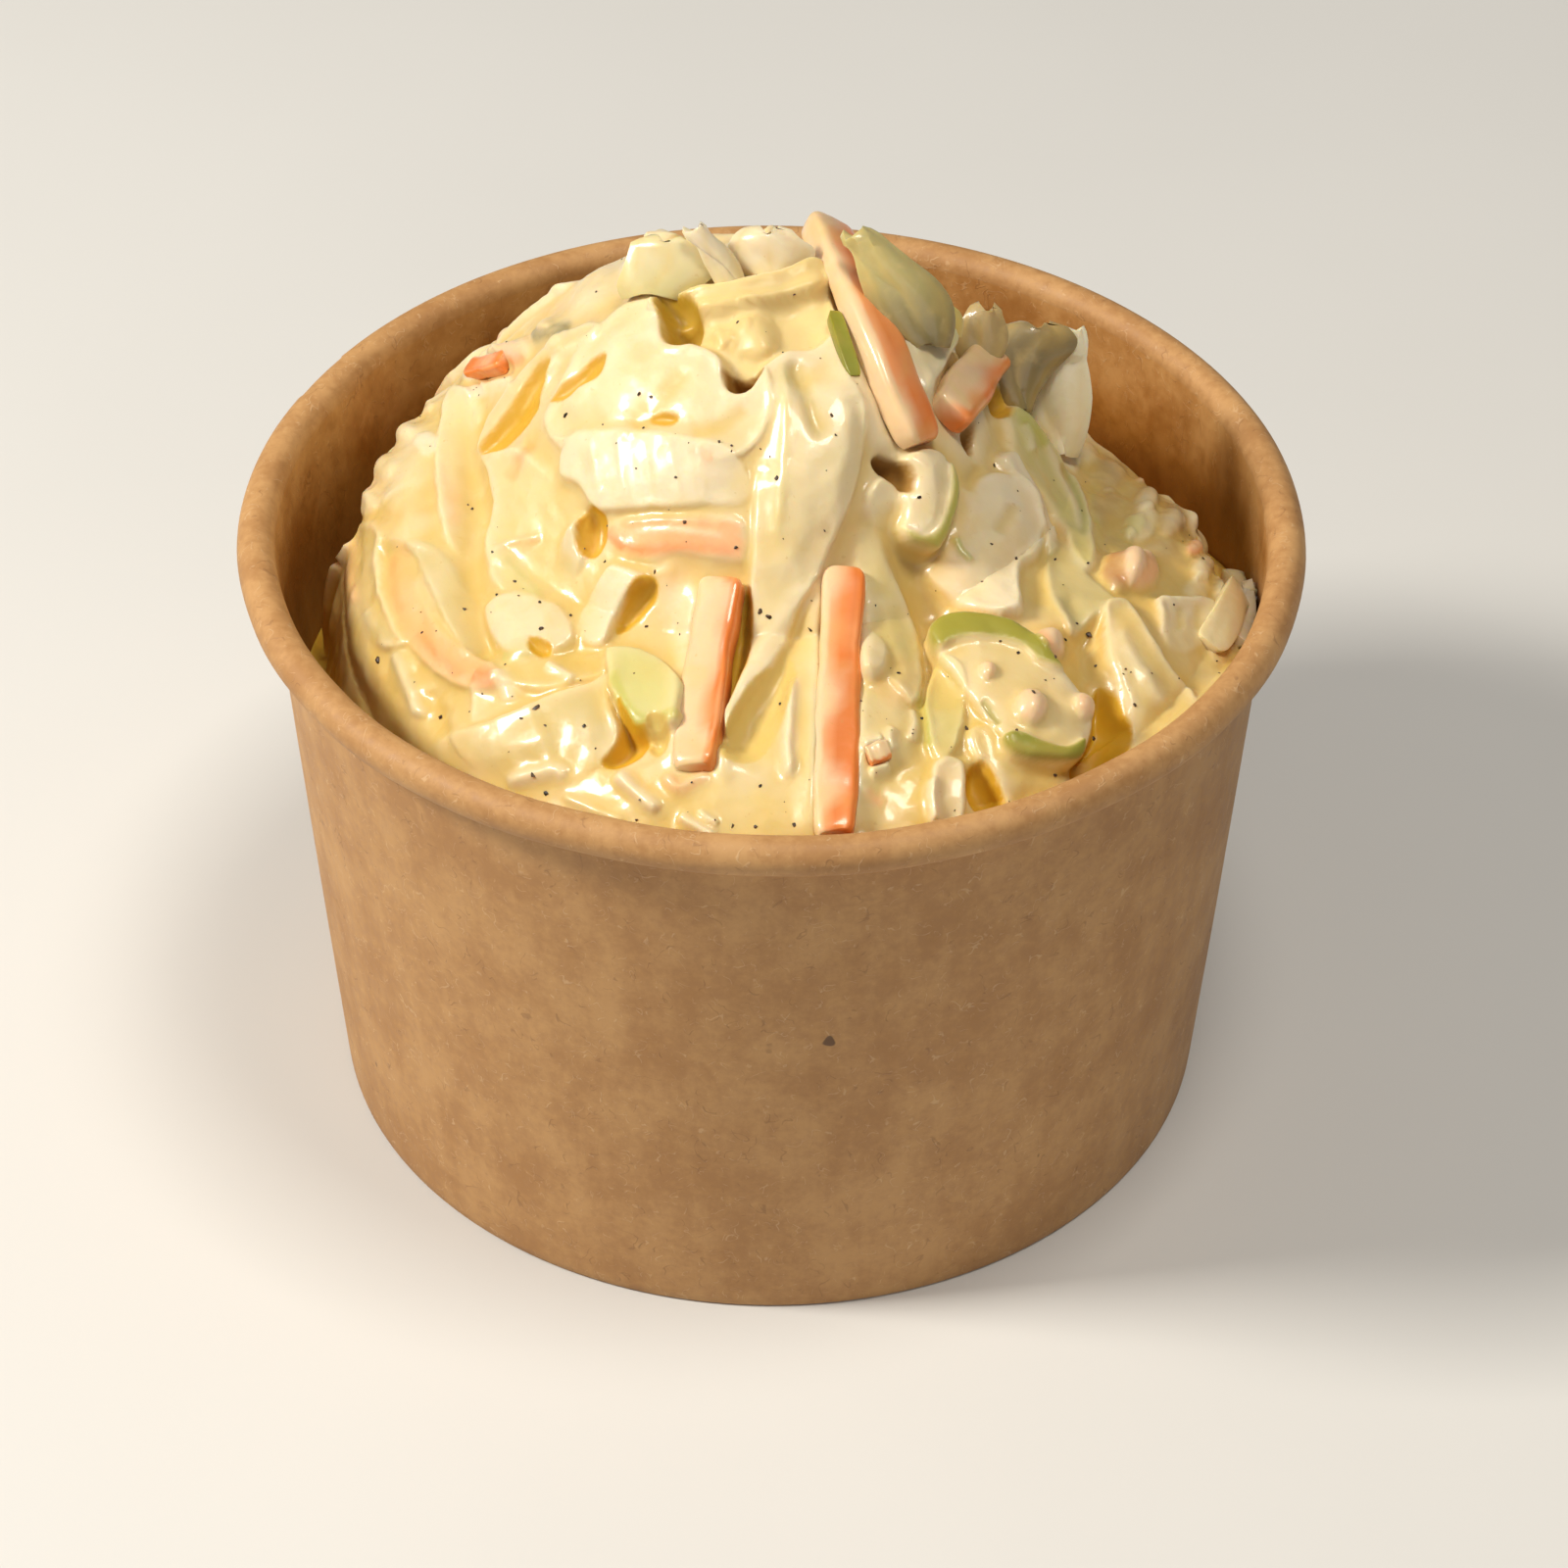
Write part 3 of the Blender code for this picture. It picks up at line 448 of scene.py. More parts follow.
      (1047, 568), (1042, 585), (1045, 612), (1030, 620), (1000, 617), (975, 602), (960, 578), (973, 560),
      (983, 530)],
     dict(lift=1.3, tint=WHITE, strength=0.7, edge=6, rim=0.3, dome=0.6, fade=(1055, 545, 950, 510))),
    # pale ridge left of the green leaf
    ([(1030, 462), (1042, 455), (1052, 470), (1064, 492), (1076, 520), (1082, 548), (1072, 552), (1064, 530),
      (1054, 502), (1040, 482)],
     dict(lift=1.3, tint=WHITE, strength=0.5, edge=5, rim=0.2)),
    # green leaf with the white ridge
    ([(1034, 416), (1041, 409), (1058, 423), (1076, 444), (1093, 466), (1111, 500), (1118, 536), (1121, 564),
      (1110, 577), (1095, 562), (1085, 535), (1072, 510), (1060, 490), (1045, 475), (1036, 450)],
     dict(lift=0.72, tint=LEAF, strength=0.75, edge=6, rim=0.2, rim_tint=PALE, coat=0.1)),
    # grey leaf down the right
    ([(1068, 560), (1085, 550), (1105, 575), (1125, 592), (1140, 610), (1120, 625), (1100, 640), (1085, 625),
      (1070, 600)],
     dict(lift=0.33, tint=GREY_LEAF, strength=0.6, edge=7, rim=0.2, coat=0.2)),
    # fold leaf
    ([(1127, 618), (1136, 607), (1154, 609), (1172, 636), (1194, 668), (1222, 704), (1212, 724), (1190, 735),
      (1165, 720), (1150, 695), (1135, 660)],
     dict(lift=0.72, tint=STRAW, strength=0.6, edge=6, rim=0.35, dome=0.2, fade=(1185, 650, 1150, 740))),
    ([(1183, 606), (1205, 602), (1232, 604), (1244, 612), (1242, 640), (1232, 655), (1210, 660), (1192, 648)],
     dict(lift=0.72, tint=WHITE, strength=0.5, edge=5, rim=0.3, fade=(1215, 610, 1210, 670))),
    ([(1244, 596), (1252, 581), (1262, 588), (1270, 600), (1284, 598), (1288, 606), (1278, 640), (1262, 664),
      (1244, 668), (1236, 650), (1244, 625)],
     dict(lift=0.65, tint=PALE, strength=0.5, edge=5, rim=0.4, fade=(1262, 600, 1255, 680))),
    # celery slice: its cream, then the green arc over the top and the green foot
    ([(947, 636), (955, 625), (972, 620), (1004, 622), (1033, 628), (1058, 645), (1080, 668), (1102, 690),
      (1118, 705), (1123, 722), (1121, 742), (1108, 772), (1070, 773), (1036, 768), (1022, 745), (1005, 722),
      (988, 700), (970, 675), (955, 655)],
     dict(lift=1.5, tint=PALE, strength=0.5, edge=5, rim=0.0, dome=0.2, ragged=0.5)),
    ([(947, 637), (954, 626), (972, 620), (1004, 622), (1033, 628), (1058, 645), (1076, 663), (1087, 676),
      (1078, 676), (1061, 671), (1046, 658), (1027, 651), (1004, 648), (976, 650), (961, 655), (951, 650)],
     dict(lift=1.75, tint=SKIN, strength=0.95, edge=4, soft=4, coat=-0.7, ragged=0.4)),
    ([(1024, 748), (1038, 744), (1062, 752), (1090, 759), (1110, 750), (1106, 772), (1070, 774), (1040, 769),
      (1028, 760)],
     dict(lift=1.55, tint=GREEN, strength=0.95, edge=4, soft=4, coat=-0.7, ragged=0.4)),
    ([(990, 742), (1010, 738), (1030, 770), (1070, 776), (1104, 778), (1092, 800), (1075, 820), (1040, 822),
      (1018, 800), (1000, 775)],
     dict(lift=0.45, tint=CREAM, strength=0.5, edge=6, rim=0.2, dome=0.3, fade=(1020, 770, 1060, 830))),
    # drop right of the long carrot
    ([(878, 640), (892, 642), (905, 655), (906, 672), (896, 686), (880, 682), (874, 660)],
     dict(lift=1.5, tint=PALE, strength=0.6, edge=7, dome=0.3, fade=(892, 680, 880, 630))),
)

# Gaps down between the pieces: points on the frame, depth, colour, softness of the edge. Each gap's colour is painted
# shade; the amber and gold are also the dressing pooled there.
HOLLOWS = (
    # the bowl under the crown strip, and its deep left end
    ([(672, 303), (700, 297), (740, 294), (790, 288), (838, 278), (850, 305), (850, 335), (832, 350), (806, 352),
      (781, 368), (771, 380), (765, 391), (753, 396), (742, 392), (739, 378), (733, 360), (718, 350), (701, 346),
      (689, 348), (675, 343)], 1.3, CREAM, 7),
    ([(672, 303), (690, 299), (706, 303), (712, 320), (703, 338), (690, 347), (677, 343), (672, 325)], 2.6, GOLD_AND_SHADE, 7),
    ([(738, 372), (758, 376), (778, 372), (772, 384), (765, 393), (753, 398), (741, 393)], 2.6, SHADE_BROWN, 4),
    ([(562, 366), (549, 374), (536, 390), (522, 412), (506, 434), (490, 455), (490, 462), (506, 456), (521, 441),
      (536, 423), (546, 403), (556, 383)], 1.2, AMBER_AND_SHADE, 4),
    ([(619, 361), (602, 367), (587, 380), (572, 393), (558, 408), (576, 404), (593, 394), (607, 386), (615, 376)],
     0.9, AMBER_AND_SHADE, 4),
    ([(660, 425), (672, 419), (690, 424), (684, 432), (668, 432)], 0.9, AMBER_AND_SHADE, 5),
    ([(603, 515), (612, 524), (615, 541), (612, 558), (603, 567), (593, 565), (588, 552), (589, 532), (595, 518)],
     1.2, AMBER_AND_SHADE, 3),
    ([(654, 590), (664, 587), (670, 596), (668, 610), (656, 625), (642, 636), (628, 642), (634, 625), (643, 606)],
     0.7, AMBER_AND_SHADE, 6),
    ([(632, 716), (640, 728), (650, 742), (664, 744), (658, 762), (640, 776), (622, 782), (612, 776), (624, 762),
      (631, 745)], 1.5, AMBER_AND_SHADE, 7),
    ([(895, 466), (903, 464), (915, 469), (925, 477), (930, 490), (927, 503), (919, 501), (914, 490), (903, 483),
      (895, 476)], 3.2, SHADE_BROWN, 4),
    ([(983, 424), (990, 428), (996, 440), (998, 458), (992, 460), (986, 446)], 2.6, SHADE_BROWN, 4),
    ([(1008, 392), (1020, 396), (1030, 410), (1030, 424), (1018, 420), (1010, 408)], 2.0, AMBER_AND_SHADE, 6),
    ([(990, 782), (1004, 776), (1018, 796), (1028, 822), (1000, 826), (988, 806)], 2.2, AMBER_AND_SHADE, 6),
    ([(1128, 690), (1142, 700), (1152, 722), (1160, 745), (1140, 775), (1112, 795), (1100, 788), (1112, 765),
      (1124, 740), (1124, 715)], 2.4, AMBER_AND_SHADE, 10),
    ([(540, 653), (552, 651), (562, 658), (556, 667), (542, 665)], 1.0, AMBER_AND_SHADE, 6),
    ([(764, 600), (768, 640), (763, 675), (750, 705), (740, 722), (737, 700), (745, 660), (754, 625)], 1.8, AMBER_AND_SHADE, 8),
    ([(766, 700), (790, 680), (802, 664), (812, 690), (800, 730), (775, 770), (740, 775), (735, 755), (745, 735)],
     0.9, STRAW, 20),
    ([(663, 733), (680, 738), (682, 756), (672, 770), (660, 760)], 1.2, STRAW, 8),
)

# Ridges, folds and grooves: points on the frame, half width in frame points, height, colour, strength. Grooves tinted
# straw or grey carry painted shade.
STROKES = (
    # pale rib down the middle leaf, and the fold beside it, its grey painted shade
    ([(800, 362), (802, 400), (801, 450), (797, 500), (790, 560)], 6, 0.30, LEAF, 0.55),
    ([(810, 358), (818, 385), (828, 415), (838, 450)], 9, -0.55, GREY_LEAF, 0.5),
    ([(850, 370), (862, 410), (866, 450), (858, 500), (845, 540)], 14, 0.35, PALE, 0.2),
    ([(874, 400), (880, 440), (876, 480), (862, 520)], 8, -0.35, None, 0),
    ([(820, 590), (800, 630), (775, 670), (752, 710)], 9, 0.35, WHITE, 0.3),
    # long ridges near the front edge, their white a painted highlight
    ([(809, 684), (806, 720), (804, 760), (807, 790)], 7, 0.95, WHITE, 0.5),
    ([(624, 784), (640, 800), (656, 814), (670, 825)], 7, 0.9, WHITE, 0.5),
    ([(690, 828), (706, 840), (730, 855)], 6, 0.8, WHITE, 0.5),
    ([(709, 822), (720, 832), (731, 838)], 4, 0.5, WHITE, 0.4),
    ([(508, 797), (535, 790), (560, 783), (575, 790)], 8, 0.6, WHITE, 0.4),
    ([(567, 808), (600, 824), (633, 838)], 5, 0.35, STRAW, 0.5),
    ([(553, 672), (568, 678), (584, 688)], 5, 0.5, WHITE, 0.5),
    ([(505, 680), (512, 695), (516, 712)], 7, 0.4, WHITE, 0.5),
    ([(933, 716), (935, 735), (930, 752)], 5, 0.55, WHITE, 0.4),
    ([(952, 790), (951, 815), (955, 838)], 5, 0.6, WHITE, 0.5),
    ([(912, 740), (908, 752), (912, 765)], 6, 0.5, PALE, 0.3),
    # creases of the left side
    ([(533, 446), (522, 466), (511, 488)], 5, -0.25, PINK, 0.8),
    ([(540, 400), (522, 430), (502, 470)], 7, -0.2, None, 0),
    ([(470, 300), (455, 360), (430, 420)], 9, 0.4, PALE, 0.2),
    ([(498, 559), (515, 570), (535, 590), (552, 607)], 7, 0.3, LEAF, 0.7),
    ([(500, 556), (520, 550), (545, 545)], 4, 0.25, PINK, 0.4),
    ([(507, 667), (530, 662), (552, 650)], 6, 0.25, LEAF, 0.7),
    ([(396, 661), (408, 690), (424, 733)], 8, 0.6, GREY_LEAF, 0.4),
    ([(363, 619), (380, 640), (396, 658)], 9, 0.3, GREY_LEAF, 0.4),
    ([(430, 700), (440, 730), (455, 750)], 10, -0.4, STRAW, 0.4),
    ([(420, 590), (428, 640), (440, 670)], 4, -0.2, None, 0),
    # crown
    ([(760, 310), (775, 330), (785, 350)], 14, 0.5, PALE, 0.3),
    ([(722, 322), (730, 330), (738, 340)], 9, 0.5, PINK, 0.25),
    ([(750, 349), (770, 354), (792, 348)], 4, -0.5, STRAW, 0.5),
    ([(700, 330), (712, 332), (724, 340)], 6, -0.4, STRAW, 0.5),
    # green edges on the right
    ([(940, 700), (944, 729), (951, 764)], 5, 0.15, LIME, 0.75),
    ([(978, 545), (982, 560), (991, 574)], 3, 0.4, LIME, 0.9),
    ([(1046, 430), (1052, 445), (1056, 460)], 5, 0.4, WHITE, 0.6),
    ([(1085, 470), (1100, 505), (1108, 545)], 6, -0.3, GREEN, 0.4),
    ([(1010, 470), (1000, 485), (992, 500)], 5, -0.4, STRAW, 0.5),
    ([(1015, 545), (1025, 530), (1032, 515)], 7, -0.35, STRAW, 0.4),
    ([(1140, 640), (1165, 680), (1195, 720)], 6, 0.3, WHITE, 0.3),
    ([(1090, 600), (1110, 640), (1120, 680)], 8, -0.35, GREY_LEAF, 0.4),
    ([(1001, 718), (1010, 730), (1019, 743)], 3, -0.4, GREEN, 0.6),
    ([(628, 532), (660, 531), (700, 530), (745, 534)], 5, 0.2, PINK, 0.6),
    ([(620, 545), (650, 560), (700, 556), (755, 563)], 5, 0.1, ORANGE, 0.55),
    ([(612, 538), (622, 549), (634, 560)], 5, 0.1, ORANGE, 0.7),
    ([(640, 541), (690, 541), (740, 546)], 3, 0.12, WHITE, 0.35),
    ([(480, 686), (492, 690), (504, 690)], 8, 0.3, ORANGE, 0.85),
    ([(420, 640), (445, 668), (474, 690)], 5, 0.1, ORANGE, 0.45),
    ([(396, 560), (394, 590), (404, 625)], 5, 0.1, ORANGE, 0.3),
    # pleats of the white lobe and ribs of the leaves
    ([(600, 445), (604, 475), (612, 508)], 3, 0.14, None, 0),
    ([(628, 440), (632, 475), (640, 512)], 3, 0.12, None, 0),
    ([(652, 442), (660, 478), (668, 512)], 4, -0.12, STRAW, 0.2),
    ([(680, 444), (688, 480), (694, 512)], 3, 0.12, None, 0),
    ([(712, 450), (716, 480), (718, 510)], 3, 0.10, None, 0),
    ([(640, 330), (600, 380), (575, 420)], 10, 0.35, PALE, 0.3),
    ([(700, 370), (660, 410), (640, 435)], 12, -0.35, STRAW, 0.4),
    ([(760, 410), (735, 430), (700, 440)], 8, -0.25, STRAW, 0.4),
    ([(1060, 440), (1078, 470), (1094, 505), (1104, 540)], 4, 0.3, PALE, 0.7),
    ([(1042, 412), (1056, 432), (1070, 455)], 10, 0.1, LIME, 0.95),
    ([(1118, 470), (1122, 510), (1128, 550)], 7, 0.2, LIME, 0.4),
    ([(1205, 615), (1208, 640)], 4, -0.2, STRAW, 0.4),
    ([(1225, 612), (1226, 640)], 4, -0.2, STRAW, 0.4),
    # orange and pink that shows through down both edges of the heap
    ([(430, 380), (415, 400), (400, 420)], 7, 0.2, ORANGE, 0.35),
    ([(388, 455), (378, 480), (370, 500)], 7, 0.2, PINK, 0.5),
    ([(352, 545), (346, 580), (352, 615)], 6, 0.2, PINK, 0.4),
    ([(440, 470), (452, 500), (458, 530)], 9, 0.1, PINK, 0.35),
    ([(1180, 470), (1196, 488), (1208, 510)], 8, 0.3, ORANGE, 0.45),
    ([(1222, 545), (1236, 562), (1250, 578)], 7, 0.3, ORANGE, 0.4),
    ([(534, 338), (554, 334), (580, 332)], 9, 0.5, (0.22, 0.18, 0.07), 0.9),
    # faint colour under the cream
    ([(700, 458), (715, 463), (728, 466)], 6, 0.05, ORANGE, 0.35),
    ([(757, 318), (765, 322)], 7, 0.1, PINK, 0.7),
    # amber here is painted shade beside the white tongue
    ([(640, 600), (660, 585), (690, 582)], 6, 0.1, AMBER_AND_SHADE, 0.3),
    ([(675, 784), (690, 800), (705, 792), (722, 780)], 7, 0.5, ORANGE, 0.4),
    ([(883, 800), (893, 810), (905, 815)], 5, 0.1, PINK, 0.5),
)

# Sticks of carrot: points on the frame with lift; half width, half thickness, roll; where the cream clings to the
# section, as a bearing in degrees (0 is one side, 90 the top, 180 the other side) and how far it spreads each way.
CARROTS = (
    ([(838, 236, 1.6), (862, 280, 0.8), (888, 335, 0.6), (909, 390, 0.5), (936, 450, 0.4)], 2.0, 1.3, -0.10, 180, 84),
    ([(1000, 362, 0.8), (982, 392, 0.9), (962, 424, 0.2)], 2.0, 1.3, 0.2, 180, 86),
    ([(739, 592, -0.1), (731, 640, 0.1), (722, 690, 0.1), (714, 740, -0.1), (708, 790, -0.6)], 1.85, 1.3, 0.12, 180, 96),
    ([(861, 580, 0.0), (859, 640, 0.1), (856, 700, 0.1), (854, 760, 0.0), (851, 857, -0.1)], 1.75, 1.2, 0.08, 180, 72),
    ([(884, 773, 0.0), (906, 765, 0.0)], 0.85, 0.8, 0.3, 90, 40),
    ([(474, 362, 0.4), (500, 343, 0.5), (526, 328, 0.5)], 1.2, 1.0, 0.3, 90, 80),
    ([(482, 378, 0.0), (499, 373, 0.1), (516, 369, 0.0)], 1.0, 0.8, 0.0, 0, 60),
)
# Broad ridges and valleys, before anything is laid on them. The colours of the valleys, and the tan over the right
# slope, are painted shade.
FORMS = (
    ([(950, 470), (940, 560), (955, 640), (962, 740)], 26, -1.5, STRAW, 0.3),
    ([(760, 600), (752, 680), (730, 760)], 22, -1.2, STRAW, 0.3),
    ([(470, 420), (480, 500), (478, 600), (500, 680)], 20, -0.8, STRAW, 0.2),
    ([(560, 640), (600, 690), (640, 760)], 20, -0.8, STRAW, 0.3),
    ([(1080, 380), (1130, 460), (1160, 560)], 30, -1.2, GREY_LEAF, 0.3),
    ([(1110, 620), (1120, 700), (1110, 800)], 24, -1.4, AMBER_AND_SHADE, 0.3),
    ([(700, 240), (650, 330), (600, 420)], 34, 0.6, None, 0),
    ([(830, 380), (820, 480), (800, 600)], 40, 1.0, None, 0),
    ([(900, 600), (905, 680), (915, 780)], 26, 0.8, None, 0),
    ([(420, 420), (410, 500), (400, 560)], 26, 0.8, None, 0),
    ([(1120, 420), (1160, 470), (1215, 560)], 44, 0.3, SHADE_TAN, 0.7),
    ([(560, 740), (500, 760), (440, 740)], 26, 0.6, None, 0),
)
# Lumps under the dressing: place and radius on the frame, height, colour.
BEADS = (
    (1008, 686, 9, 0.9, PINK), (1051, 724, 18, 1.3, (0.80, 0.36, 0.12)), (1110, 718, 15, 1.0, (0.80, 0.28, 0.07)),
    # the carrot end at 1148-1168: its dark brown left half is painted shade, the pink right half its lit side
    (1074, 648, 19, 1.4, (0.70, 0.33, 0.17)), (1148, 572, 23, 1.2, (0.42, 0.15, 0.035)), (1168, 572, 23, 1.5, PINK),
    # tan lumps on the right slope: painted shade
    (1120, 440, 15, 0.8, CREAM), (1144, 462, 20, 0.6, SHADE_TAN), (1140, 500, 24, 0.6, SHADE_TAN), (1178, 498, 13, 0.9, CREAM),
    (1172, 520, 18, 0.7, PALE), (1204, 522, 15, 0.9, SHADE_TAN), (1152, 535, 16, 0.6, OLIVE), (1236, 572, 12, 0.9, CREAM),
    (1178, 474, 8, 0.9, ORANGE), (1226, 552, 9, 0.9, ORANGE),
    (768, 322, 30, 0.8, CREAM), (735, 330, 13, 0.5, PALE), (757, 316, 9, 0.2, PINK),
    (1190, 481, 7, 0.5, ORANGE), (1232, 590, 14, 0.5, PALE), (1165, 520, 12, 0.5, LEAF), (1103, 452, 10, 0.3, PALE),
    (420, 402, 13, 0.8, PALE), (404, 432, 14, 0.8, CREAM), (383, 470, 15, 0.8, STRAW), (365, 508, 14, 0.7, CREAM),
    (470, 368, 11, 0.6, WHITE), (478, 391, 9, 0.5, WHITE), (560, 345, 10, 0.4, LEAF), (545, 322, 9, 0.6, CREAM),
    (515, 355, 12, 0.6, ORANGE), (430, 445, 14, 0.4, WHITE),
)
# Strips that stand clear of the dressing: points on the frame with lift; half width, colour, curl, tilt.
STRIPS = (
    ([(850, 316, 0.6), (858, 342, 0.8), (871, 380, 0.6)], 0.6, GREEN, 0.0, 0.0),
    ([(1232, 655, 0.6), (1246, 620, 1.3), (1256, 584, 2.0)], 1.5, PALE, -0.1, 0.0),
    ([(1262, 650, 0.6), (1272, 625, 1.3), (1284, 598, 2.0)], 1.3, WHITE, -0.1, 0.0),
)
# Leaves that stand up out of the heap: where they are rooted on the frame, lean in degrees, turn, bow, colours of the
# tip and the foot, then the two sides on the frame from the tip down. Their dark colours are painted shade on leaves
# standing in shadow.
STANDING = (
    ((1097, 462), 62, -0.45, 0.9, (0.88, 0.78, 0.56), (0.85, 0.73, 0.48), (
        (1096, 1100, 337), (1093, 1105, 348), (1089, 1107, 358), (1066, 1108, 366), (1053, 1109, 375),
        (1044, 1110, 388), (1039, 1111, 405), (1046, 1109, 420), (1058, 1106, 434), (1070, 1101, 448),
        (1080, 1094, 462))),
    # the big leaf behind the crown stick: its foot painted dark as shade
    ((915, 348), 58, 0.1, 1.0, (0.52, 0.44, 0.18), (0.20, 0.155, 0.065), (
        (866, 880, 241), (870, 896, 248), (874, 912, 260), (878, 930, 276), (885, 950, 292), (893, 964, 312),
        (905, 966, 334), (925, 960, 352))),
    ((962, 352), 60, 0.0, 0.5, LEAF, STRAW, (
        (938, 960, 304), (934, 968, 311), (940, 972, 320), (950, 974, 330), (958, 972, 342))),
    # a thin leaf behind, painted brownish for the shade that shows through it
    ((987, 360), 62, 0.0, 0.5, (0.35, 0.26, 0.13), (0.40, 0.30, 0.14), (
        (996, 1016, 318), (986, 1022, 325), (980, 1024, 335), (980, 1022, 348), (984, 1014, 362), (990, 1006, 376))),
    # a leaf in the shadow of the upright leaf, painted dark as shade
    ((1032, 402), 56, 0.2, 0.9, (0.25, 0.19, 0.09), (0.30, 0.22, 0.08), (
        (1030, 1080, 338), (1018, 1094, 344), (1008, 1092, 354), (1005, 1080, 364), (1008, 1066, 376),
        (1014, 1056, 390), (1022, 1048, 402), (1030, 1042, 418))),
    ((664, 296), 52, -0.2, 0.5, (0.66, 0.57, 0.32), (0.62, 0.53, 0.24), (
        (648, 724, 250), (646, 727, 256), (643, 730, 266), (640, 728, 278), (636, 706, 292), (642, 690, 302))),
    ((786, 272), 60, 0.0, 0.8, WHITE, PALE, (
        (765, 802, 241), (750, 818, 246), (745, 827, 254), (750, 824, 264), (764, 810, 274), (776, 796, 284))),
    ((744, 282), 60, 0.2, 0.3, WHITE, PALE, (
        (703, 712, 235), (708, 722, 243), (715, 730, 252), (723, 738, 262), (731, 746, 274), (738, 752, 288))),
)
# Coarse pepper on the frame: place and size in tenths of a millimetre.
PEPPER = (
    (578, 424, 6), (651, 402, 5), (665, 404, 4), (733, 452, 4), (748, 456, 3), (794, 489, 6), (745, 459, 3),
    (800, 240, 3), (808, 304, 4), (879, 354, 3), (786, 466, 3), (853, 445, 3), (841, 540, 3), (752, 558, 5),
    (776, 623, 6), (785, 628, 8), (547, 722, 9), (555, 741, 5), (543, 791, 6), (557, 811, 6), (386, 673, 9),
    (450, 732, 6), (502, 563, 4), (508, 607, 4), (551, 615, 4), (552, 641, 5), (530, 608, 3), (430, 645, 4),
    (583, 628, 4), (797, 718, 4), (776, 803, 4), (917, 686, 4), (986, 744, 5), (1040, 667, 4), (1111, 648, 8),
    (1267, 643, 7), (1036, 570, 5), (1016, 476, 5), (937, 507, 5), (1012, 554, 4), (1077, 571, 4), (1002, 593, 3),
    (826, 643, 6), (811, 840, 5), (770, 843, 4), (748, 843, 4), (848, 833, 4), (862, 708, 3), (879, 716, 3),
    (894, 618, 3), (1066, 694, 3), (1055, 707, 5), (1198, 617, 3), (1242, 675, 3), (690, 488, 4), (649, 478, 3),
    (620, 537, 3), (667, 583, 4), (597, 560, 3), (660, 640, 5), (693, 648, 3), (706, 798, 3), (1110, 575, 4),
)


def own_material(name):
    made = bpy.data.materials.new(name)
    made.use_nodes = True
    return made


class Value:
    """A number or colour that varies over a surface: one output socket of a material."""

    def __init__(self, finish, socket):
        self.finish = finish
        self.socket = socket

    def sum(self, operation, first, second=0.0):
        made = self.finish.node("ShaderNodeMath", {"operation": operation}, {0: first, 1: second})
        return Value(self.finish, made.outputs[0])

    def __add__(self, other):
        return self.sum("ADD", self, other)

    def __radd__(self, other):
        return self.sum("ADD", other, self)

    def __sub__(self, other):
        return self.sum("SUBTRACT", self, other)

    def __rsub__(self, other):
        return self.sum("SUBTRACT", other, self)

    def __mul__(self, other):
        return self.sum("MULTIPLY", self, other)

    def __rmul__(self, other):
        return self.sum("MULTIPLY", other, self)

    def __pow__(self, other):
        return self.sum("POWER", self, other)

    def __abs__(self):
        return self.sum("ABSOLUTE", self)


class Finish:
    """A material in the making, with its one Principled shader."""

    def __init__(self, name, roughness=0.5, **constants):
        self.material = own_material(name)
        self.tree = self.material.node_tree
        self.shader = self.tree.nodes["Principled BSDF"]
        self.shader.inputs["Roughness"].default_value = roughness
        for socket, value in constants.items():
            self.shader.inputs[socket.replace("_", " ")].default_value = value
        self.place = Value(self, self.tree.nodes.new("ShaderNodeTexCoord").outputs["Object"])

    def node(self, kind, settings, values):
        made = self.tree.nodes.new(kind)
        for name, value in settings.items():
            setattr(made, name, value)
        for socket, value in values.items():
            self.feed(made.inputs[socket], value)
        return made

    def feed(self, socket, value):
        if isinstance(value, Value):
            self.tree.links.new(value.socket, socket)
        elif isinstance(value, tuple) and len(value) == 3 and socket.type == "RGBA":
            socket.default_value = (*value, 1.0)
        else:
            socket.default_value = value

    def set(self, socket, value):
        self.feed(self.shader.inputs[socket], value)

    def stretched(self, scale, turn=(0.0, 0.0, 0.0)):
        made = self.node("ShaderNodeMapping", {}, {"Vector": self.place, "Scale": scale, "Rotation": turn})
        return Value(self, made.outputs[0])

    def noise(self, size, detail=3.0, rough=0.5, place=None, warp=0.0):
        """Cloudy noise whose lumps are about this many millimetres across."""
        made = self.node("ShaderNodeTexNoise", {}, {"Vector": place or self.place, "Scale": 1 / (size * MM),
                                                    "Detail": detail, "Roughness": rough, "Distortion": warp})
        return Value(self, made.outputs["Fac"])

    def step(self, value, low, high, bottom=0.0, top=1.0):
        made = self.node("ShaderNodeMapRange", {"interpolation_type": "SMOOTHSTEP"},
                         {"Value": value, "From Min": low, "From Max": high, "To Min": bottom, "To Max": top})
        return Value(self, made.outputs[0])

    def mix(self, share, first, second, blend="MIX"):
        made = self.node("ShaderNodeMix", {"data_type": "RGBA", "blend_type": blend}, {0: share, 6: first, 7: second})
        return Value(self, made.outputs[2])

    def attribute(self, name, channel="Color"):
        made = self.node("ShaderNodeAttribute", {"attribute_name": name}, {})
        return Value(self, made.outputs[channel])

    def bump(self, height, distance, strength=1.0):
        made = self.node("ShaderNodeBump", {}, {"Height": height, "Distance": distance * MM, "Strength": strength})
        self.set("Normal", Value(self, made.outputs[0]))


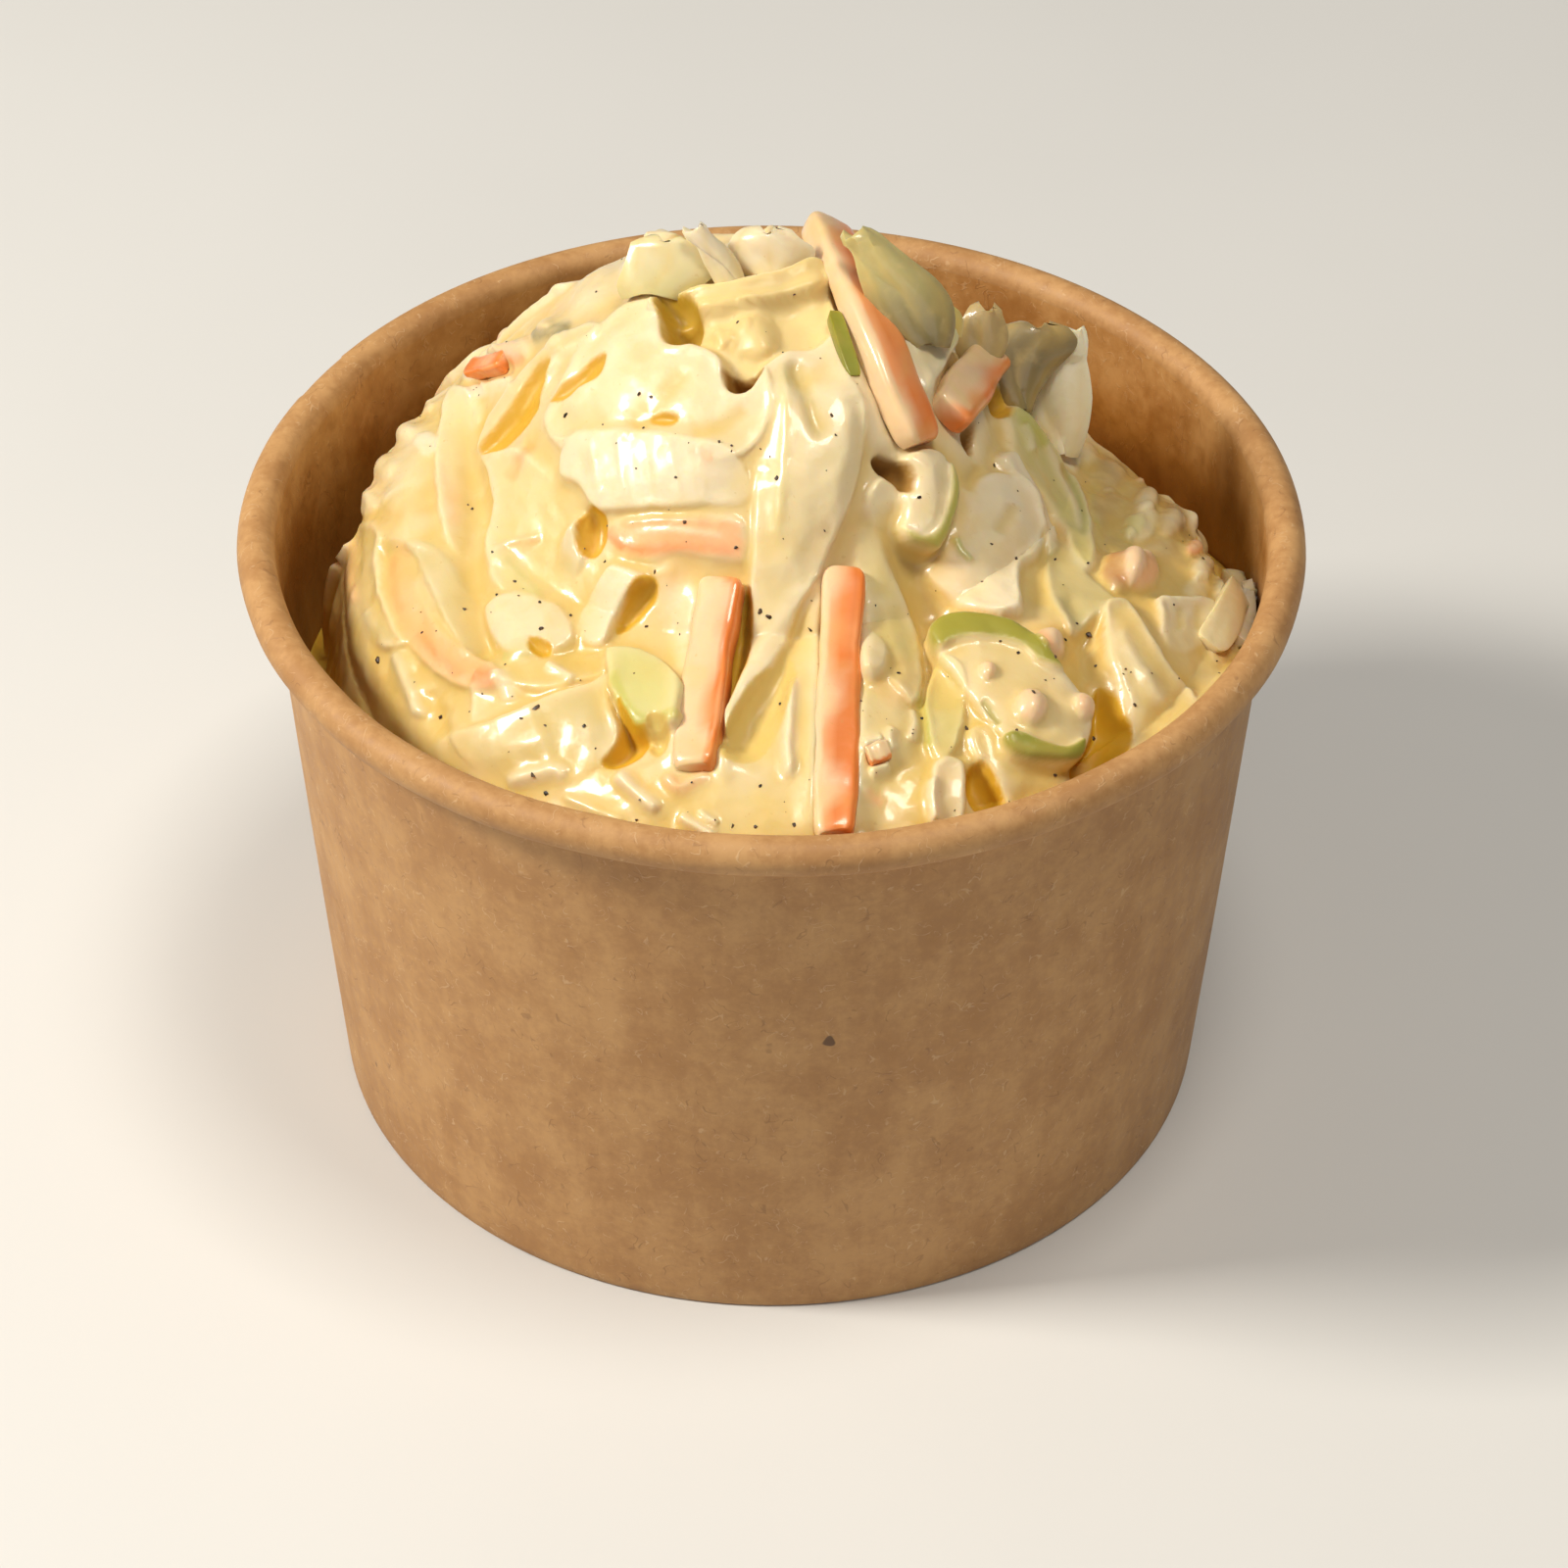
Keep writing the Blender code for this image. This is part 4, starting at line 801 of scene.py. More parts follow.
def kraft(name, light, dark, inside_pot):
    """Brown kraft paper: soft mottling, short curled fibres lighter and darker than the sheet, a few dark flecks."""
    finish = Finish(name, roughness=0.62, IOR=1.45)
    clouds = finish.noise(7, 3, 0.6)
    grain = finish.noise(0.9, 5, 0.7)
    streaks = finish.noise(2.2, 3, 0.6, finish.stretched((1.0, 1.0, 0.22)))
    tone = finish.step(clouds * 0.45 + grain * 0.35 + streaks * 0.2, 0.38, 0.62)
    colour = finish.mix(tone, dark, light)
    height = grain * 0.7 + streaks * 0.3
    for size, width, turn, share, shade in (
        (1.7, 0.016, (0.3, 0.2, 0.1), 0.30, (0.74, 0.52, 0.30)), (2.2, 0.014, (1.1, 0.5, 0.8), 0.35, (0.20, 0.09, 0.035)),
        (1.3, 0.018, (0.6, 1.3, 1.9), 0.25, (0.70, 0.47, 0.26)),
    ):
        line = finish.noise(size, 1.5, 0.4, finish.stretched((1.0, 1.0, 1.0), turn), 0.6)
        patch = finish.noise(size * 0.9, 2, 0.5, finish.stretched((1.3, 0.8, 1.0), (turn[2], turn[0], turn[1])))
        fibre = finish.step(abs(line - 0.5), width, width * 0.3) * finish.step(patch, 0.54, 0.62)
        colour = finish.mix(fibre * share, colour, shade)
        height = height + fibre * 0.8
    fleck = finish.step(finish.noise(2.2, 1, 0.5, finish.stretched((1.0, 1.0, 0.7))), 0.80, 0.83)
    colour = finish.mix(fleck * 0.8, colour, (0.07, 0.03, 0.015))
    if inside_pot:
        height_up = Value(finish, finish.node("ShaderNodeSeparateXYZ", {}, {0: finish.place}).outputs["Z"])
        # Lower down the inside wall the paper is darker and deeper orange: partly paper soaked by the dressing, partly
        # painted shade beside the heap.
        damp_and_shade = finish.step(height_up + (clouds - 0.5) * 0.012, 0.055, 0.046)
        colour = finish.mix(damp_and_shade, colour, finish.mix(tone, (0.26, 0.095, 0.012), (0.36, 0.150, 0.024)))
    finish.set("Base Color", colour)
    finish.set("Roughness", finish.step(grain, 0.3, 0.7, 0.40 if inside_pot else 0.52, 0.58 if inside_pot else 0.7))
    finish.bump(height, 0.06, 0.4)
    return finish.material


def dressed(name, veil, veil_low, veil_high, shine=0.42):
    """Salad under its dressing: each point's painted colour, painted shade and highlight included, veiled by cream in
    smears, wet all over.
    """
    finish = Finish(name, roughness=0.36, Subsurface_Weight=0.30, Subsurface_Radius=(1.0, 0.50, 0.16),
                    Subsurface_Scale=1.8 * MM, Coat_Roughness=0.12, IOR=1.40)
    tint = finish.attribute("tint")
    coat = finish.attribute("coat", "Fac")
    smear = finish.noise(2.4, 3, 0.5, warp=0.8)
    fine = finish.noise(0.7, 3, 0.6)
    share = finish.step(coat + (smear - 0.5) * 1.1 + (fine - 0.5) * 0.3, veil_low, veil_high)
    colour = finish.mix(share * veil, tint, CREAM)
    warm = finish.noise(5, 2, 0.5)
    colour = finish.mix(finish.step(warm, 0.50, 0.75) * 0.30, colour, (0.67, 0.44, 0.12))
    crumb = finish.step(finish.noise(0.5, 2, 0.5), 0.70, 0.76)
    colour = finish.mix(crumb * 0.25, colour, (0.50, 0.29, 0.07))
    finish.set("Base Color", colour)
    finish.set("Coat Weight", finish.step(coat, -0.5, 0.1, 0.0, shine))
    finish.set("Roughness", finish.step(smear, 0.35, 0.65, 0.30, 0.50))
    finish.bump(finish.noise(1.5, 2, 0.45) * 0.7 + fine * 0.15, 0.17, 0.5)
    return finish.material


def ground_pepper(name):
    finish = Finish(name, roughness=0.45, IOR=1.45)
    finish.set("Base Color", finish.mix(finish.step(finish.noise(0.35, 2, 0.5), 0.4, 0.6), (0.012, 0.009, 0.007),
                                        (0.085, 0.045, 0.022)))
    return finish.material


def deselect():
    if bpy.context.mode != "OBJECT":
        bpy.ops.object.mode_set(mode="OBJECT")
    bpy.ops.object.select_all(action="DESELECT")


def placed(made):
    co = np.empty(len(made.data.vertices) * 3)
    made.data.vertices.foreach_get("co", co)
    return co.reshape(-1, 3)


def move_to(made, places):
    made.data.vertices.foreach_set("co", (np.asarray(places, float) * MM).ravel())
    made.data.update()


def grid(name, along, across):
    """A flat grid primitive, -1 to 1 each way, and each vertex's two shares."""
    deselect()
    bpy.ops.mesh.primitive_grid_add(x_subdivisions=along, y_subdivisions=across, size=2)
    made = bpy.context.object
    made.name = made.data.name = name
    return made, placed(made)[:, :2].copy()


def paint(made, tints, coats):
    layer = made.data.attributes.new("tint", "FLOAT_COLOR", "POINT")
    layer.data.foreach_set("color", np.column_stack((tints, np.ones(len(tints)))).ravel())
    layer = made.data.attributes.new("coat", "FLOAT", "POINT")
    layer.data.foreach_set("value", np.broadcast_to(coats, (len(tints),)).astype(float).ravel())


def apply_modifier(made, kind, **settings):
    deselect()
    made.select_set(True)
    bpy.context.view_layer.objects.active = made
    modifier = made.modifiers.new(kind.lower(), kind)
    for name, value in settings.items():
        setattr(modifier, name, value)
    bpy.ops.object.modifier_apply(modifier=modifier.name)


def joined(name, parts, finish):
    deselect()
    for part in parts:
        part.select_set(True)
    bpy.context.view_layer.objects.active = parts[0]
    bpy.ops.object.join()
    made = bpy.context.object
    made.name = made.data.name = name
    made.data.materials.clear()
    made.data.materials.append(finish)
    return made


def smoothed(made, degrees=60):
    deselect()
    made.select_set(True)
    bpy.context.view_layer.objects.active = made
    bpy.ops.object.shade_smooth_by_angle(angle=math.radians(degrees))


def seated(made, slot, *nodes):
    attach(made, "root")
    if nodes:
        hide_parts(*nodes)


def outer_radius(height):
    level = CUP_HEIGHT - ROLL_RADIUS + ROLL_RADIUS * math.sin(ROLL_END)
    top = RIM_RADIUS - ROLL_RADIUS + ROLL_RADIUS * math.cos(ROLL_END)
    return FOOT_RADIUS + (top - FOOT_RADIUS) * height / level


def inner_limit(height):
    top = CUP_HEIGHT - ROLL_RADIUS
    return FOOT_RADIUS + (outer_radius(top) - FOOT_RADIUS) * np.minimum(height, top) / top - PAPER - GAP


def pot_profile():
    """Radius and height round the paper's section: the roll, the outside down, the folded foot, the inside up."""
    centre, level = RIM_RADIUS - ROLL_RADIUS, CUP_HEIGHT - ROLL_RADIUS
    roll = [(centre + ROLL_RADIUS * math.cos(a), level + ROLL_RADIUS * math.sin(a))
            for a in np.linspace(math.pi, ROLL_END, 18)]
    low = roll[-1][1]
    outside = [(outer_radius(h), h) for h in np.linspace(low - 1.0, 1.0, 9)]
    foot = [(FOOT_RADIUS, FOOT_ROUNDING), (FOOT_RADIUS - FOOT_ROUNDING, 0.0),
            (FOOT_RADIUS - FOLD_THICKNESS + FOOT_ROUNDING, 0.0), (FOOT_RADIUS - FOLD_THICKNESS, FOOT_ROUNDING),
            (outer_radius(FOLD_HEIGHT) - FOLD_THICKNESS, FOLD_HEIGHT),
            (outer_radius(FOLD_HEIGHT) - PAPER, FOLD_HEIGHT)]
    inside_up = [(outer_radius(h) - PAPER, h) for h in np.linspace(FOLD_HEIGHT + 2, level - 2.2, 8)]
    return roll + outside + foot + inside_up


def paper_wall(outside, inside_paper):
    """The side of the pot, spun from its section, with the lap where the paper's ends are glued."""
    deselect()
    profile = pot_profile()
    bpy.ops.mesh.primitive_circle_add(vertices=len(profile), radius=RIM_RADIUS * MM, fill_type="NOTHING")
    wall = bpy.context.object
    wall.name = wall.data.name = "paper_wall"
    move_to(wall, [(r, 0.0, h) for r, h in profile])
    bpy.ops.object.mode_set(mode="EDIT")
    bpy.ops.mesh.select_all(action="SELECT")
    bpy.ops.mesh.spin(steps=200, angle=math.tau, center=(0, 0, 0), axis=(0, 0, 1))
    bpy.ops.mesh.select_all(action="SELECT")
    bpy.ops.mesh.remove_doubles(threshold=0.00001)
    bpy.ops.mesh.normals_make_consistent(inside=False)
    bpy.ops.object.mode_set(mode="OBJECT")
    places = placed(wall) / MM
    azimuth = np.arctan2(places[:, 1], places[:, 0])
    radius, height = np.hypot(places[:, 0], places[:, 1]), places[:, 2]
    turn = (azimuth - LAP_AZIMUTH + math.pi) % math.tau - math.pi
    spoke = math.tau / 200
    for edge in (0.0, LAP_WIDTH):
        off = turn - edge
        turn = np.where(abs(off) < spoke, edge + np.sign(off) * spoke * 0.12, turn)
    azimuth = turn + LAP_AZIMUTH
    outer = radius > outer_radius(0) + (height / CUP_HEIGHT) * (outer_radius(CUP_HEIGHT) - FOOT_RADIUS) - PAPER / 2
    lap = (turn > 0) & (turn < LAP_WIDTH)
    thick = 0.32 * step_up(height, 4, 10)
    radius = radius + np.where(lap & ~outer & (height < CUP_HEIGHT - 3), -thick, 0.0)
    radius += np.where(lap & (height >= CUP_HEIGHT - 3), -0.12, 0.0)
    sway = 0.16 * np.sin(3 * azimuth + 0.6) + 0.10 * np.sin(7 * azimuth + 2.0) + 0.05 * np.sin(19 * azimuth)
    free = step_up(height, 12, CUP_HEIGHT)
    radius -= free * (0.18 + 0.5 * sway)
    height = height + np.where(height > CUP_HEIGHT - 4, 0.35 * sway * free - 0.06, 0.0)
    move_to(wall, np.column_stack((radius * np.cos(azimuth), radius * np.sin(azimuth), height)))
    wall.data.materials.append(outside)
    wall.data.materials.append(inside_paper)
    for face in wall.data.polygons:
        middle = face.center / MM
        flat = math.hypot(middle.x, middle.y)
        inward = face.normal.x * middle.x + face.normal.y * middle.y < 0
        if inward and middle.z < CUP_HEIGHT - 2.0 and flat > 30:
            face.material_index = 1
    smoothed(wall, 50)
    seated(wall, "kraft_wall", "cup_wall")
    return wall


def paper_base(finish):
    """The disc on the folded foot, its edge a little rounded."""
    deselect()
    bottom, top = FOLD_HEIGHT + GAP, FOLD_HEIGHT + GAP + DISC_THICKNESS
    radius = outer_radius(bottom) - PAPER - GAP
    bpy.ops.mesh.primitive_cylinder_add(vertices=144, radius=radius * MM, depth=DISC_THICKNESS * MM,
                                        location=(0, 0, (bottom + top) / 2 * MM))
    base = bpy.context.object
    base.name = base.data.name = "paper_base"
    bpy.ops.object.transform_apply(location=True)
    apply_modifier(base, "BEVEL", width=0.15 * MM, segments=2, limit_method="ANGLE")
    base.data.materials.append(finish)
    smoothed(base, 40)
    seated(base, "kraft_base", "cup_base")
    return base


def disc_shares(flat):
    """Square to disc: the bearing and the share of the radius for points of a square, -1 to 1."""
    x, y = flat[:, 0], flat[:, 1]
    u = x * np.sqrt(1 - y * y / 2)
    v = y * np.sqrt(1 - x * x / 2)
    return np.arctan2(v, u), np.minimum(np.hypot(u, v), 1.0)


def spread_radii():
    """For each of many bearings, the radii at even steps of length down the side of the heap."""
    bearings = np.linspace(-math.pi, math.pi, 241)
    rows = []
    for bearing in bearings:
        floor = around(np.array([bearing]))[0, 3]
        edge = inner_limit(floor)
        radii = np.linspace(0, edge, 600)
        heights = heap(radii * math.cos(bearing), radii * math.sin(bearing))
        run = np.hypot(np.diff(radii), 0.75 * np.diff(heights))
        length = np.concatenate(([0.0], np.cumsum(run)))
        rows.append(np.interp(np.linspace(0, length[-1], 160), length, radii))
    return bearings, np.array(rows)


def base_places(flat):
    bearing, share = disc_shares(flat)
    bearings, rows = spread_radii()
    column = share * (rows.shape[1] - 1)
    left = np.minimum(column.astype(int), rows.shape[1] - 2)
    line = (bearing + math.pi) / math.tau * (len(bearings) - 1)
    low = np.minimum(line.astype(int), len(bearings) - 2)
    a, b = (column - left), (line - low)
    radius = ((rows[low, left] * (1 - a) + rows[low, left + 1] * a) * (1 - b)
              + (rows[low + 1, left] * (1 - a) + rows[low + 1, left + 1] * a) * b)
    x, y = radius * np.cos(bearing), radius * np.sin(bearing)
    return np.column_stack((x, y, heap(x, y))), share


def cloud(places, size, seed):
    """Noise from -1 to 1 with lumps of this size, at many places."""
    start = Vector((seed * 17.3, seed * 5.1, seed * 9.7))
    return np.array([noise.noise(Vector(row) + start) for row in places / size])


def scattered_folds(relief, draw):
    """Leaves, folds and gaps over the sides that the photograph doesn't show, drawn on the plan."""
    for k in range(230):
        bearing = draw.uniform(-math.pi, math.pi)
        radius = math.sqrt(draw.uniform(0, 37.0**2))
        x, y = 12 * radius * math.cos(bearing), 12 * radius * math.sin(bearing)
        heading = bearing + draw.gauss(0, 0.9)
        ahead = np.array((math.cos(heading), math.sin(heading)))
        side = np.array((-ahead[1], ahead[0]))
        long, broad = draw.uniform(28, 88), draw.uniform(14, 40)
        centre = np.array((x, y))
        tint = draw.choice((PALE, WHITE, WHITE, STRAW, CREAM, LEAF, GREY_LEAF))
        if k % 3 == 0:
            line = [centre + ahead * (t * long) + side * (broad * 0.6 * t * t) for t in (-1, -0.4, 0.3, 1)]
            relief.stroke(line, draw.uniform(6, 16), draw.uniform(0.3, 1.0), tint, 0.5, 2.6, True)
        elif k % 9 == 1:
            ring = [centre + ahead * (0.4 * long * math.cos(t)) + side * (0.35 * broad * math.sin(t))
                    for t in np.arange(0, math.tau, 0.9)]
            # gaps tinted amber: pooled dressing and painted shade
            relief.hollow(ring, draw.uniform(1.0, 2.2), AMBER_AND_SHADE, 6, 0.9, True)
        elif k % 9 == 4:
            line = [centre + ahead * (t * long * 0.7) for t in (-1, 0, 1)]
            relief.stroke(line, draw.uniform(11, 16), 0.9, draw.choice((PINK, ORANGE, LIME)), 0.8, 4.0, True)
        else:
            ring = [centre + ahead * (long * math.cos(t) * draw.uniform(0.8, 1.15))
                    + side * (broad * math.sin(t) * draw.uniform(0.75, 1.2)) for t in np.arange(0, math.tau, 0.62)]
            fade = (*(centre + side * broad * draw.choice((-1, 1)) * 0.7), *(centre - side * broad * 0.7))
            if math.dist(fade[:2], fade[2:]) < 10:
                fade = (*(centre + side * broad), *(centre - side * broad))
            relief.area(ring, draw.uniform(0.6, 1.5), tint, 0.6, 8, 0.25, 0.3, fade=fade, on_plan=True)


def blurred(values, sigma):
    """A square grid of values, averaged over a round patch this many cells wide."""
    reach = int(3 * sigma)
    weights = np.exp(-0.5 * (np.arange(-reach, reach + 1) / sigma) ** 2)
    weights /= weights.sum()
    for axis in (0, 1):
        wide = np.pad(values, [(reach, reach) if k == axis else (0, 0) for k in (0, 1)], mode="edge")
        count = values.shape[axis]
        values = sum(w * np.take(wide, np.arange(k, k + count), axis) for k, w in enumerate(weights))
    return values


def thick_cream_and_painted_light(relief):
    """Dressing rounds what it covers and fills the corners; creases are tinted deep yellow and ridges pale, partly for
    the dressing's depth and partly as painted shade and painted highlight.
    """
    side = BODY_SIDES + 1
    out = relief.out.reshape(side, side)
    near = blurred(out, 2.4)
    out = out + 0.75 * np.maximum(near - out, 0) - 0.35 * np.maximum(out - near, 0)
    relief.out = out.ravel()
    fine = out - blurred(out, 3.5)
    broad = out - blurred(out, 11.0)
    # Painted shade in the creases (low) and painted light on the ridges (high), together with the dressing lying
    # thicker and thinner there.
    low = np.clip(-fine / 0.22, 0, 1) * 0.55 + np.clip(-broad / 0.9, 0, 1) * 0.75
    high = np.clip(fine / 0.25, 0, 1) * 0.4 + np.clip(broad / 1.2, 0, 1) * 0.35
    everywhere = np.arange(len(relief.out))
    creamy = np.clip(relief.coat + 0.4, 0, 1)
    relief.colour(everywhere, (0.63, 0.41, 0.09), np.clip(low, 0, 0.62).ravel() * creamy)
    relief.colour(everywhere, (0.79, 0.68, 0.47), np.clip(high, 0, 0.6).ravel() * creamy)


def dressing(finish):
    """The whole heap as one closed body: the creamy surface drawn leaf by leaf, then the part inside the pot."""
    body, flat = grid("dressed_heap", BODY_SIDES, BODY_SIDES)
    places, share = base_places(flat)
    normals = heap_normals(places[:, 0], places[:, 1])
    relief = Relief(places, normals)
    relief.out += (0.55 * cloud(places, 6.5, 1) + 0.22 * cloud(places, 2.6, 2)) * (1 - 0.35 * relief.seen)
    for tint, size, seed, part in ((PALE, 7.0, 5, 0.8), (STRAW, 5.0, 6, 0.7), (WHITE, 4.0, 8, 0.5), (PINK, 6.0, 9, 0.3)):
        relief.colour(np.arange(len(places)), tint, part * step_up(cloud(places, size, seed), 0.05, 0.45))
    # Painted light: the top of the heap paler as if lit from above, the lower parts darker and yellower as painted
    # shade.
    relief.colour(np.arange(len(places)), WHITE, 0.5 * step_up(places[:, 2], 60, 72))
    relief.colour(np.arange(len(places)), (0.62, 0.43, 0.12), 0.55 * step_up(-places[:, 2], -61, -54))
    scattered_folds(relief, random.Random(7))
    for points, half_width, height, tint, strength in FORMS:
        relief.stroke(points, half_width, height, tint, strength, 2.4)
    for points, lie in AREAS:
        relief.area(points, **lie)
    for points, half_width, height, tint, strength in STROKES:
        relief.stroke(points, half_width, height, tint, strength)
    for bead in BEADS:
        relief.bead(*bead)
    for points, half, *_ in CARROTS:
        line = [point[:2] for point in points]
        relief.stroke(line, half * 12 * 1.6, 1.35, CREAM, 0.2, 3.0)
        relief.stroke(line, half * 12 * 0.85, -1.9, None, 0, 3.0)
    for points, depth, tint, edge in HOLLOWS:
        relief.hollow(points, depth, tint, edge)
    thick_cream_and_painted_light(relief)
    relief.out += 0.10 * cloud(places, 2.4, 4) + 0.07 * cloud(places, 1.2, 3)
    sunk = relief.out - 0.5
    sunk *= step_up(1 - share, 0.0, 0.02)
    made = places + normals * sunk[:, None]
    reach = np.hypot(made[:, 0], made[:, 1])
    limit = inner_limit(made[:, 2]) - 0.05
    over = np.maximum(reach / limit, 1.0)
    within = made[:, 2] < CUP_HEIGHT + 1.5
    made[:, 0] = np.where(within, made[:, 0] / over, made[:, 0])
    made[:, 1] = np.where(within, made[:, 1] / over, made[:, 1])
    move_to(body, made)
    # Low down by the pot's wall the dressing pools in the gap: tinted amber for the pooled dressing and as painted
    # shade, with less coat.
    low = step_up(around(np.arctan2(places[:, 1], places[:, 0]))[:, 2] + 1.5 - made[:, 2], 0, 7)
    relief.colour(np.arange(len(places)), AMBER_AND_SHADE, 0.75 * low)
    relief.coat -= 0.8 * low
    relief.made = made
    relief.made_px, relief.made_py = project(made)
    paint(body, relief.tint, relief.coat)
    apply_modifier(body, "DECIMATE", ratio=min(1.0, BODY_TRIANGLES / (2 * BODY_SIDES**2)))
    close_below(body)
    body.data.materials.append(finish)
    body.data.shade_smooth()
    seated(body, "dressed_slaw", "slaw")
    return relief


def close_below(body):
    """Draws the open edge down the inside of the pot and closes it over the base."""
    floor = FOLD_HEIGHT + 2 * GAP + DISC_THICKNESS
    bpy.ops.object.mode_set(mode="EDIT")
    bpy.ops.mesh.select_mode(type="EDGE")
    bpy.ops.mesh.select_all(action="DESELECT")
    bpy.ops.mesh.select_non_manifold()
    shrink = float(inner_limit(floor) / inner_limit(45.0))
    bpy.ops.mesh.extrude_region_move()
    bpy.ops.transform.resize(value=(shrink, shrink, 0.0), center_override=(0, 0, floor * MM))
    bpy.ops.mesh.edge_face_add()
    bpy.ops.mesh.select_all(action="SELECT")
    bpy.ops.mesh.quads_convert_to_tris()
    bpy.ops.mesh.normals_make_consistent(inside=False)
    bpy.ops.object.mode_set(mode="OBJECT")


def laid(rows, half_width, along, across, curl=0.0, taper=0.25, drape=0.6, tilt=0.0, shares=None):
    """Places of a strip along stations (x, y, lift): it follows the heap, narrows at its ends and curls across."""
    flat = shares if shares is not None else np.stack(np.meshgrid(
        np.linspace(-1, 1, along + 1), np.linspace(-1, 1, across + 1)), -1).reshape(-1, 2)
    line = smooth_loop(rows, False, 8)
    where = (flat[:, 0] + 1) / 2 * (len(line) - 1)
    low = np.minimum(where.astype(int), len(line) - 2)
    part = (where - low)[:, None]
    spine = line[low] * (1 - part) + line[low + 1] * part
    run = np.gradient(line[:, :2], axis=0)
    run /= np.maximum(np.linalg.norm(run, axis=1, keepdims=True), 1e-6)
    heading = np.column_stack((run[low], np.zeros(len(low))))
    up = heap_normals(spine[:, 0], spine[:, 1], 1.5)
    side = np.cross(up, heading)
    side /= np.linalg.norm(side, axis=1, keepdims=True)
    narrow = 1 - taper * np.abs(flat[:, 0]) ** 6
    out = flat[:, 1] * half_width * narrow
    stiff = np.column_stack((spine[:, :2], heap(spine[:, 0], spine[:, 1]))) + side * out[:, None]
    ground = heap(stiff[:, 0], stiff[:, 1])
    stiff[:, 2] += (ground - stiff[:, 2]) * drape
    rise = spine[:, 2] + curl * flat[:, 1] ** 2 * half_width + tilt * out
    return stiff + up * rise[:, None]


def from_frame(points):
    """Stations (x, y, lift) on the plan from frame points with a lift."""
    rows = np.array(points, float)
    found = np.array([on_heap([px], [py], lift)[0] for px, py, lift in rows])
    return np.column_stack((found, rows[:, 2]))


def sheet_piece(template, shares, name, rows, half_width, tints, coat, **how):
    copy = bpy.data.objects.new(name, template.data.copy())
    bpy.context.scene.collection.objects.link(copy)
    places = laid(rows, half_width, 0, 0, shares=shares, **how)
    reach = np.hypot(places[:, 0], places[:, 1])
    limit = inner_limit(np.minimum(places[:, 2], CUP_HEIGHT - 2)) - 0.25
    over = np.where(places[:, 2] < CUP_HEIGHT + 2, np.maximum(reach / limit, 1.0), 1.0)
    places[:, 0] /= over
    places[:, 1] /= over
    move_to(copy, places)
    paint(copy, tints, coat)
    return copy


def scatter_spots(draw, count, apart, lowest=8.0, highest=35.0):
    """Seeded places on the heap that the camera doesn't see, even with a piece standing on them, and a heading."""
    found = []
    for _ in range(1400):
        if len(found) == count:
            break
        bearing = draw.uniform(-math.pi, math.pi)
        radius = math.sqrt(draw.uniform(lowest**2, highest**2))
        x, y = radius * math.cos(bearing), radius * math.sin(bearing)
        if radius > around(np.array([bearing]))[0, 0] - 1.5:
            continue
        if any(math.dist((x, y), spot[:2]) < apart for spot in found):
            continue
        spots = np.array([[x + dx, y + dy, float(heap(x + dx, y + dy)) + 1.2] for dx, dy in ((0, 0), (0, -2.5))])
        if seen_by_camera(spots, np.tile((0.0, 0.0, 1.0), (2, 1))).max() > 0.3:
            continue
        found.append((x, y, draw.uniform(0, math.pi)))
    return found


def short_row(x, y, heading, half, bend, lift):
    return np.array([(x + s * half * math.cos(heading + s * bend), y + s * half * math.sin(heading + s * bend),
                      lift - abs(s) * 0.35) for s in (-1, 0, 1)])


def bar_template(name, along, around_it):
    """A tube made from a grid: its long sides welded, its ends closed."""
    made, shares = grid(name, along, around_it)
    turn = shares[:, 1] * math.pi
    move_to(made, np.column_stack((shares[:, 0] * 1000, 400 * np.cos(turn), 400 * np.sin(turn))))
    bpy.ops.object.mode_set(mode="EDIT")
    bpy.ops.mesh.select_all(action="SELECT")
    bpy.ops.mesh.remove_doubles(threshold=0.001)
    bpy.ops.mesh.fill_holes(sides=0)
    bpy.ops.mesh.normals_make_consistent(inside=False)
    bpy.ops.object.mode_set(mode="OBJECT")
    co = placed(made)
    return made, np.column_stack((co[:, 0], np.arctan2(co[:, 2], co[:, 1]) / math.pi))


